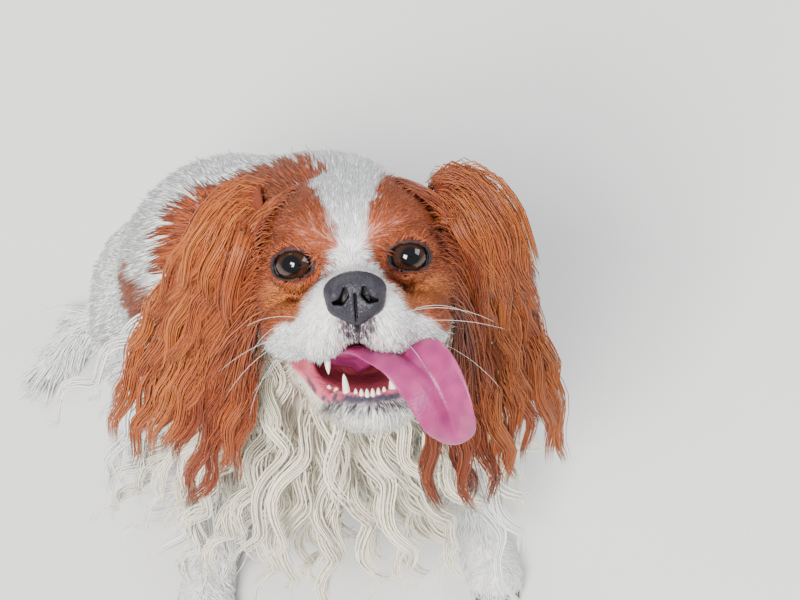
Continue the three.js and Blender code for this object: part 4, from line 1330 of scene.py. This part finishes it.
def ear_lock_lines(ear, s0, t0):
    """The locks' wavy middle lines, the way up from the ear, their rise, and how far over each lies."""
    count, steps = len(s0), 40
    way = np.linspace(0, 1, len(ear.line))
    run = np.concatenate([[0], np.cumsum(norm(np.diff(ear.line, axis=0)))])
    start = np.interp(s0, way, run)
    reach = draw.uniform(64, 100, count) * (0.7 + 0.5 * s0)
    hem = run[-1] * (0.97 + 0.03 * np.sin(8 * t0 + ear.side) + draw.normal(0, 0.02, count)).clip(0, 1)
    u = np.linspace(0, 1, steps + 1)[None]
    at = start[:, None] + np.minimum(reach, hem - start)[:, None] * u
    s = np.interp(at, run, way)
    phase = draw.uniform(0, 2 * math.pi, count)[:, None]
    turn = 2 * math.pi * at / EAR_WAVE + phase
    size = draw.uniform(2.4, 5.0, count)[:, None] * (0.25 + 0.75 * ease(0.1, 0.5, s))
    sway = size / np.interp(s, ear.at, ear.halves)
    t = t0[:, None] + sway * (np.sin(turn) - np.sin(phase)) * np.sqrt(u)
    t = (t + draw.normal(0, 0.07, count)[:, None] * u).clip(-1.08, 1.08)
    t = np.where(t > 0, t * (1 - ear.narrowing * ease(0.55, 0.9, s)), t)
    over = draw.random(count)
    flare = (draw.uniform(0, 9, count) * ease(0.45, 0.1, s0) + draw.uniform(0, 3, count))[:, None]
    rise = 2.4 + (6 * over)[:, None] * np.sin(math.pi * (0.1 + 0.75 * u)) + flare * u**2
    rise = rise + 1.6 * np.cos(turn) * u
    middle, out = ear.place(s, t, rise)
    middle[:, 0] -= out[:, 0] * 2
    return middle, out, rise, over


def ear_coat(ear):
    """Long, wavy locks from the root of the ear to well past the leather's end."""
    per_lock, bends = 46, 7
    s0, t0 = ear_lock_roots(ear)
    middle, out, rise, over = ear_lock_lines(ear, s0, t0)
    path, up = locks(middle, out, rise, per_lock, bends, EAR_LOCK_RADIUS, 0.5, 0.5)
    number = np.repeat(np.arange(len(s0)), per_lock)
    over = np.clip(over[number] + draw.uniform(-0.4, 0.4, len(number)), 0, 1)
    tint = ear_tints(ear, over, s0[number], t0[number])
    way = ear_way(s0[number], t0[number], 0.8)
    way += draw.uniform(-0.02, 0.02, way.shape)
    width = draw.uniform(0.55, 1.0, len(number))
    way = way.clip(0.005, 0.995)
    strands(f"coat_ear_{ear.name}", "chestnut_coat", SILK, path, up[:, :-1], width, tint, way)


def ear_lining(ear):
    """Short hair on the side of the ear that faces the neck."""
    count, bends = 1000, 3
    s0 = draw.uniform(0.05, 0.62, count)
    t0 = draw.uniform(-1, 1, count)
    u = np.linspace(0, 1, bends + 1)[None]
    s = s0[:, None] + 0.1 * u
    t = (t0 * np.sqrt(1 - 0.7 * (s0 / 0.66) ** 3))[:, None] * (1 + 0.08 * u)
    path, out = ear.place(s, t, 1.2 - 3.4 * np.sin(math.pi * (0.06 + 0.8 * u)) * np.ones_like(s))
    # A low over gives the lining the painted shade of hair that lies under other hair.
    tint = ear_tints(ear, 0.3 * draw.random(count), s0, t0)
    width = draw.uniform(1.0, 1.8, count)
    way = ear_way(s0, t0, 0.7)
    name = f"coat_ear_lining_{ear.name}"
    strands(name, "chestnut_coat", HAIR, path, -out[:, :-1], width, tint, way, LINING_THICK)


def skull_roots(side, v):
    """Roots on the skull from above the ear, where v is 0, to beside the cheek, where v is 1."""
    guess = np.stack([side * (20 + 28 * v**0.8), 44 - 16 * v, 30 - 52 * v], 1)
    guess += draw.normal(0, 4, (len(v), 3)) * [0.6, 1.6, 1]
    roots = HEAD.origin + guess @ HEAD.axes.T
    for _ in range(4):
        g, d = slope(face_skin, roots)
        roots -= unit(g) * d[:, None]
    return roots, unit(slope(face_skin, roots)[0])


def ear_fringe(ear):
    """Hair that flows from the skull, in front of the ear and above it, over on to the ear."""
    count, bends = 1000, 6
    v = draw.random(count) ** 1.4
    roots, normal = skull_roots(ear.side, v)
    s0 = 0.16 + 0.46 * v + draw.uniform(-0.05, 0.08, count)
    t0 = -1 + 1.0 * draw.random(count) ** 1.3
    end = s0 + draw.uniform(0.08, 0.34, count)
    u = np.linspace(0, 1, bends + 1)[None]
    s = s0[:, None] + (end - s0)[:, None] * u
    t = t0[:, None] + 0.08 * np.sin(22 * s + 2.6 * t0[:, None]) * u
    rise = 5 + 6 * draw.random(count)[:, None] * np.sin(math.pi * u)
    on_ear, out = ear.place(s, t, rise)
    skull_way = roots[:, None] + normal[:, None] * (7 * np.sin(math.pi * np.minimum(u, 0.5)))[..., None]
    share = ease(0.0, 0.7, u)[..., None]
    path = skull_way * (1 - share) + on_ear * share
    path[:, 0] = roots - normal * 1.0
    path = clumped(path, 0.4, 20)
    # A high over gives the fringe, which lies on top, the lighter and golden painted light of the top
    # layer.
    over = 0.3 + 0.7 * draw.random(count)
    up = normal[:, None] * (1 - share[:, :-1]) + out[:, :-1] * share[:, :-1]
    width = draw.uniform(0.7, 1.2, count)
    tint = ear_tints(ear, over, s0, t0)
    way = unwrapped(roots, *HEAD_AXIS)
    strands(f"coat_ear_root_{ear.name}", "chestnut_coat", SILK, path, up, width, tint, way)


def tube_faces(rings, around):
    """Faces between each ring of points and the next."""
    faces = []
    for i in range(rings - 1):
        for k in range(around):
            a, b = i * around + k, i * around + (k + 1) % around
            faces += [(a, b, b + around), (a, b + around, a + around)]
    return faces


# The eye's colours from the middle of the pupil out, and where each gives way to the next, in degrees.
PUPIL = linear(8, 7, 10)
IRIS = linear(48, 26, 15)
IRIS_EDGE = linear(16, 12, 14)
EYE_WHITE = linear(150, 132, 126)
PUPIL_END = (25, 29)
IRIS_END = (43, 49)
EDGE_END = (56, 62)
CORNEA_BULGE = 0.045
CORNEA_REACH = 0.55


def eye_colour(polar, turn):
    angle = np.degrees(polar)
    fibres = 1 + 0.25 * np.sin(turn * 23) * ease(20, 34, angle)
    tint = mixed(np.tile(PUPIL, (len(angle), 1)), IRIS * fibres[:, None], ease(*PUPIL_END, angle))
    tint = mixed(tint, IRIS_EDGE, ease(*IRIS_END, angle))
    return mixed(tint, EYE_WHITE, ease(*EDGE_END, angle))


def eyes():
    """Balls with a bulging cornea."""
    rows, around = 48, 48
    turns = np.arange(around) * 2 * math.pi / around
    grids = np.meshgrid(np.linspace(0, math.pi, rows), turns, indexing="ij")
    polar, turn = (grid.ravel() for grid in grids)
    bulge = 1 + CORNEA_BULGE * np.exp(-((polar / CORNEA_REACH) ** 4))
    q = np.stack([np.sin(polar) * np.cos(turn), -np.cos(polar) * bulge, np.sin(polar) * np.sin(turn)], -1)
    faces = np.array(tube_faces(rows, around))
    for name, place in EYES.items():
        points = place.origin + (q * EYE_RADIUS) @ place.axes.T
        tint = eye_colour(polar, turn)
        piece(f"eyeball_{name}", points, faces, EYE, "eye", tint, replaced=[f"eye_{name}"])


# A nostril's crescent: places beside the nose's middle, levels and radii along it.
NOSTRIL = [(4.8, -10.6, 0.9), (5.0, -13.8, 1.9), (7.0, -16.5, 1.8), (10.8, -17.0, 0.7)]
NOSTRIL_DEPTH = 6.5
NOSE_LEATHER = linear(40, 38, 46)
# Painted shade inside the nostrils: the leather darkens the deeper a point lies inside the pad.
NOSTRIL_SHADE = linear(16, 9, 11)
NOSE_CELL = 0.55
NOSE_REACH = 21
NOSE_GRAIN = (0.12, 2.2)
GROOVE_HALF = 0.55
GROOVE_DEPTH = 2


def nostril(side):
    """It opens beside the middle of the nose and runs out under the wing, shallower as it goes."""
    ends = [np.array([NOSE_X + x * side, z]) for x, z, _ in NOSTRIL]
    radii = [r for _, _, r in NOSTRIL]

    def field(p):
        h = HEAD.local(p)
        flat = h[:, [0, 2]]
        d = np.full(len(p), 99.0)
        for a, b, ra, rb in zip(ends, ends[1:], radii, radii[1:]):
            t = np.clip((flat - a) @ (b - a) / ((b - a) @ (b - a)), 0, 1)
            away = norm(flat - a - t[:, None] * (b - a))
            d = np.minimum(d, away - (ra + (rb - ra) * t))
        shallower = np.maximum(np.abs(h[:, 0] - NOSE_X) - 7, 0)
        return np.maximum(d, h[:, 1] + MUZZLE - NOSTRIL_DEPTH + shallower)

    return field


def nose_groove(p):
    """The line down the middle of the nose, from between the nostrils."""
    h = HEAD.local(p)
    across = np.abs(h[:, 0] - NOSE_X) - GROOVE_HALF
    return np.maximum(np.maximum(across, h[:, 1] + MUZZLE - GROOVE_DEPTH), h[:, 2] + 13)


# The pad's upper and lower middle, its wings, and what lies under them.
nose_pad = blend(4, [
    ball(HEAD, (NOSE_X, -MUZZLE + 6, -12), (15.3, 8.4, 9.6)),
    ball(HEAD, (NOSE_X, -MUZZLE + 6, -22), (8.4, 7.4, 7.6)),
    *[ball(HEAD, (NOSE_X + 9.6 * s, -MUZZLE + 3, -13.0), (5.0, 7.4, 5.4)) for s in SIDES.values()],
    *[ball(HEAD, (NOSE_X + 8 * s, -MUZZLE + 4, -19.5), (6.2, 6.6, 5.4)) for s in SIDES.values()],
])
nostrils = both_sides(nostril)


def nose_field(p):
    d = nose_pad(p)
    for hole in nostrils:
        d = cut(d, hole(p), 1.2)
    depth, size = NOSE_GRAIN
    return cut(d, nose_groove(p), 1.0) + depth * ripple(p, size)


def nose():
    middle = HEAD(NOSE_X, -MUZZLE + 6, -14)
    points, faces = surface(nose_field, middle - NOSE_REACH, middle + NOSE_REACH, NOSE_CELL)
    # The leather's colour, with painted shade that darkens the nostrils the deeper they go into the pad.
    depth = -nose_pad(points)
    tint = mixed(np.tile(NOSE_LEATHER, (len(points), 1)), NOSTRIL_SHADE, ease(0.25, 1.4, depth))
    piece("nose_pad", points, faces, NOSE, "nose_leather", tint, replaced=["nose"])


# The tongue's middle line from the throat over the left of the lower lip, and its own sizes.
TONGUE_LINE = [
    (-2, 26, -56), (1, 8, -51), (7, -8, -47), (16, -21, -47), (27, -31, -51),
    (36, -36, -60), (42, -36, -73), (46, -31, -86), (48, -24, -95),
]
TONGUE_WIDTH = 36
TONGUE_THICK = 3.4
TONGUE_GROOVE = 4.4
TONGUE_CURL = 3.4
TONGUE_LOBE = 7
TONGUE_RUFFLE = 0.9
TONGUE_COLOURS = (linear(158, 52, 108), linear(122, 34, 88))


def tongue_section(t, turn, half):
    """Across and up from the middle line: a grooved oval with raised sides and a curling left lobe."""
    across = np.cos(turn)
    groove = TONGUE_GROOVE * np.exp(-(((across - 0.1) / 0.17) ** 2)) * ease(0.97, 0.8, t)
    curl = TONGUE_CURL * across**2 * ease(0.15, 0.6, t) * ease(1, 0.8, t)
    lobe = TONGUE_LOBE * np.maximum(across, 0) ** 1.5 * ease(0.46, 0.7, t) * ease(1, 0.75, t)
    ruffle = TONGUE_RUFFLE * ease(1, 0.85, t) * np.sin(26 * t) * np.abs(across) ** 3
    x = across * half * (1 - 0.08 * ease(0.2, 0.6, t))
    z = TONGUE_THICK * np.sin(turn) * np.minimum(half / 9, 1) - groove + (curl + lobe) + ruffle
    return x, z


def tongue():
    rings, around = 60, 36
    line = smooth_line([HEAD(*q) for q in TONGUE_LINE], rings)
    t = np.linspace(0, 1, rings)[:, None]
    tangent = unit(np.gradient(line, axis=0))
    left = HEAD.along(1, 0, 0)
    across = unit(left - (tangent @ left)[:, None] * tangent)
    top = np.cross(tangent, across)
    half = TONGUE_WIDTH / 2 * np.sqrt(np.maximum(1 - (np.abs(t - 0.4) / 0.61) ** 3, 0.004))
    x, z = tongue_section(t, np.arange(around)[None] * 2 * math.pi / around, half)
    points = line[:, None] + across[:, None] * x[..., None] + top[:, None] * z[..., None]
    points = np.concatenate([points.reshape(-1, 3), line[:1], line[-1:] + tangent[-1:] * 0.6])
    faces = tube_faces(rings, around)
    last, first_cap, last_cap = (rings - 1) * around, rings * around, rings * around + 1
    for k in range(around):
        faces += [(first_cap, (k + 1) % around, k), (last_cap, last + k, last + (k + 1) % around)]
    light, dark = TONGUE_COLOURS
    tint = mixed(np.tile(light, (len(points), 1)), dark, 0.5 + 0.5 * ripple(points, 12))
    piece("tongue_flesh", points, np.array(faces), TONGUE, "tongue", tint, replaced=["tongue"])


def fang(base, tip, radius, bow, sides=10, rows=9):
    """A tooth: a tapering, slightly bent cone with a rounded tip."""
    base, tip = np.array(base, float), np.array(tip, float)
    axis = unit(tip - base)
    first = unit(np.cross(axis, [0.2, 1, 0.1]))
    second = np.cross(axis, first)
    points = []
    for i in range(rows):
        t = i / (rows - 1)
        middle = base + (tip - base) * t + np.array([0, bow * math.sin(math.pi * t), 0])
        r = radius * math.sqrt(max(1 - t**1.6, 0.002))
        for k in range(sides):
            a = 2 * math.pi * k / sides
            points.append(middle + r * (math.cos(a) * first + math.sin(a) * second))
    faces = tube_faces(rows, sides)
    last = (rows - 1) * sides
    for k in range(1, sides - 1):
        faces += [(0, k + 1, k), (last, last + k, last + k + 1)]
    return HEAD.origin + np.array(points) @ HEAD.axes.T, np.array(faces)


# Teeth and claws are told by their base, their tip, their radius and how far they bow.
def teeth():
    """Canines, two premolars behind each, and six lower incisors."""
    upper, lower = [], []
    for s in SIDES.values():
        upper.append(fang((15.5 * s, -19, -38), (15 * s, -20, -56), 2.4, 0.8))
        x = JAW_SLIDE * 0.85 + 11.5 * s
        lower.append(fang((x, -15, -70), (x + s, -17.5, -56.5), 2.2, 0.8))
        for k in (0, 1):
            x, y = (22 + 3 * k) * s, -9 + 10 * k
            upper.append(fang((x, y, -38), (x, y, -50), 3, 0))
            x, y = JAW_SLIDE * (0.7 - 0.2 * k) + (16.5 + 3 * k) * s, -4 + 10 * k
            lower.append(fang((x, y, -72), (x, y, -65), 2.4, 0))
    for k in (-2.5, -1.5, -0.5, 0.5, 1.5, 2.5):
        x, y = JAW_SLIDE * 0.9 + 2.9 * k, 0.5 * k * k
        lower.append(fang((x, -21 + y, -71), (x, -22 + y, -64.3), 1.65, 0))
    piece("teeth_upper", *joined(upper), TOOTH)
    piece("teeth_lower", *joined(lower), TOOTH)


WHISKERS_A_SIDE = 6
WHISKER_WIDTH = 0.27
WHISKER_COLOUR = linear(238, 236, 232)


def whisker(side, row, place):
    """A thin, drooping line from the muzzle's side, in the head's frame."""
    root = np.array([(21 + 4 * place) * side, -33 + 8 * place, -27 - 5 * row], float)
    go = unit(np.array([side, -0.25 + 0.35 * place, 0.3 - 0.3 * row]) + draw.normal(0, 0.14, 3))
    droop = np.array([0, 0.05, -0.12]) * draw.uniform(0.4, 1.5)
    length, bends = draw.uniform(34, 66), 10
    path = [root]
    for _ in range(bends):
        go = unit(go + droop)
        path.append(path[-1] + go * length / bends)
    return np.array(path)


def whiskers():
    lines = [whisker(side, k % 3, k // 3) for side in SIDES.values() for k in range(WHISKERS_A_SIDE)]
    paths = np.array([HEAD.origin + line @ HEAD.axes.T for line in lines])
    count = len(paths)
    tint = np.tile(WHISKER_COLOUR, (count, 1))
    rise = np.tile(HEAD.along(0, 0, 1), (count, 1, 1))
    uv = unwrapped(paths[:, 0], *HEAD_AXIS)
    width = np.full(count, WHISKER_WIDTH)
    strands("whiskers", "white_coat", HAIR, paths, rise, width, tint, uv, WHISKER_THICK)


def claws():
    made = []
    for place, toes in ((CHEST, FORE_TOES), (PELVIS, HIND_TOES)):
        for s in SIDES.values():
            for x, y, z in toe_centres(toes, s):
                points, faces = fang((x, y - 8, z - 1), (x, y - 15.5, z - 6.5), 1.7, -0.6)
                local = (points - HEAD.origin) @ HEAD.axes
                made.append((place.origin + local @ place.axes.T, faces))
    piece("claws", *joined(made), CLAW)


add_camera()
add_studio()
body_mesh, head_mesh = make_skin()
face_coat(head_mesh)
crown_coat(head_mesh)
body_coat(body_mesh)
for ear_name, own in EARS.items():
    ear = Ear(ear_name, **own)
    ear_leather(ear)
    ear_coat(ear)
    ear_fringe(ear)
    ear_lining(ear)
eyes()
nose()
tongue()
teeth()
whiskers()
claws()
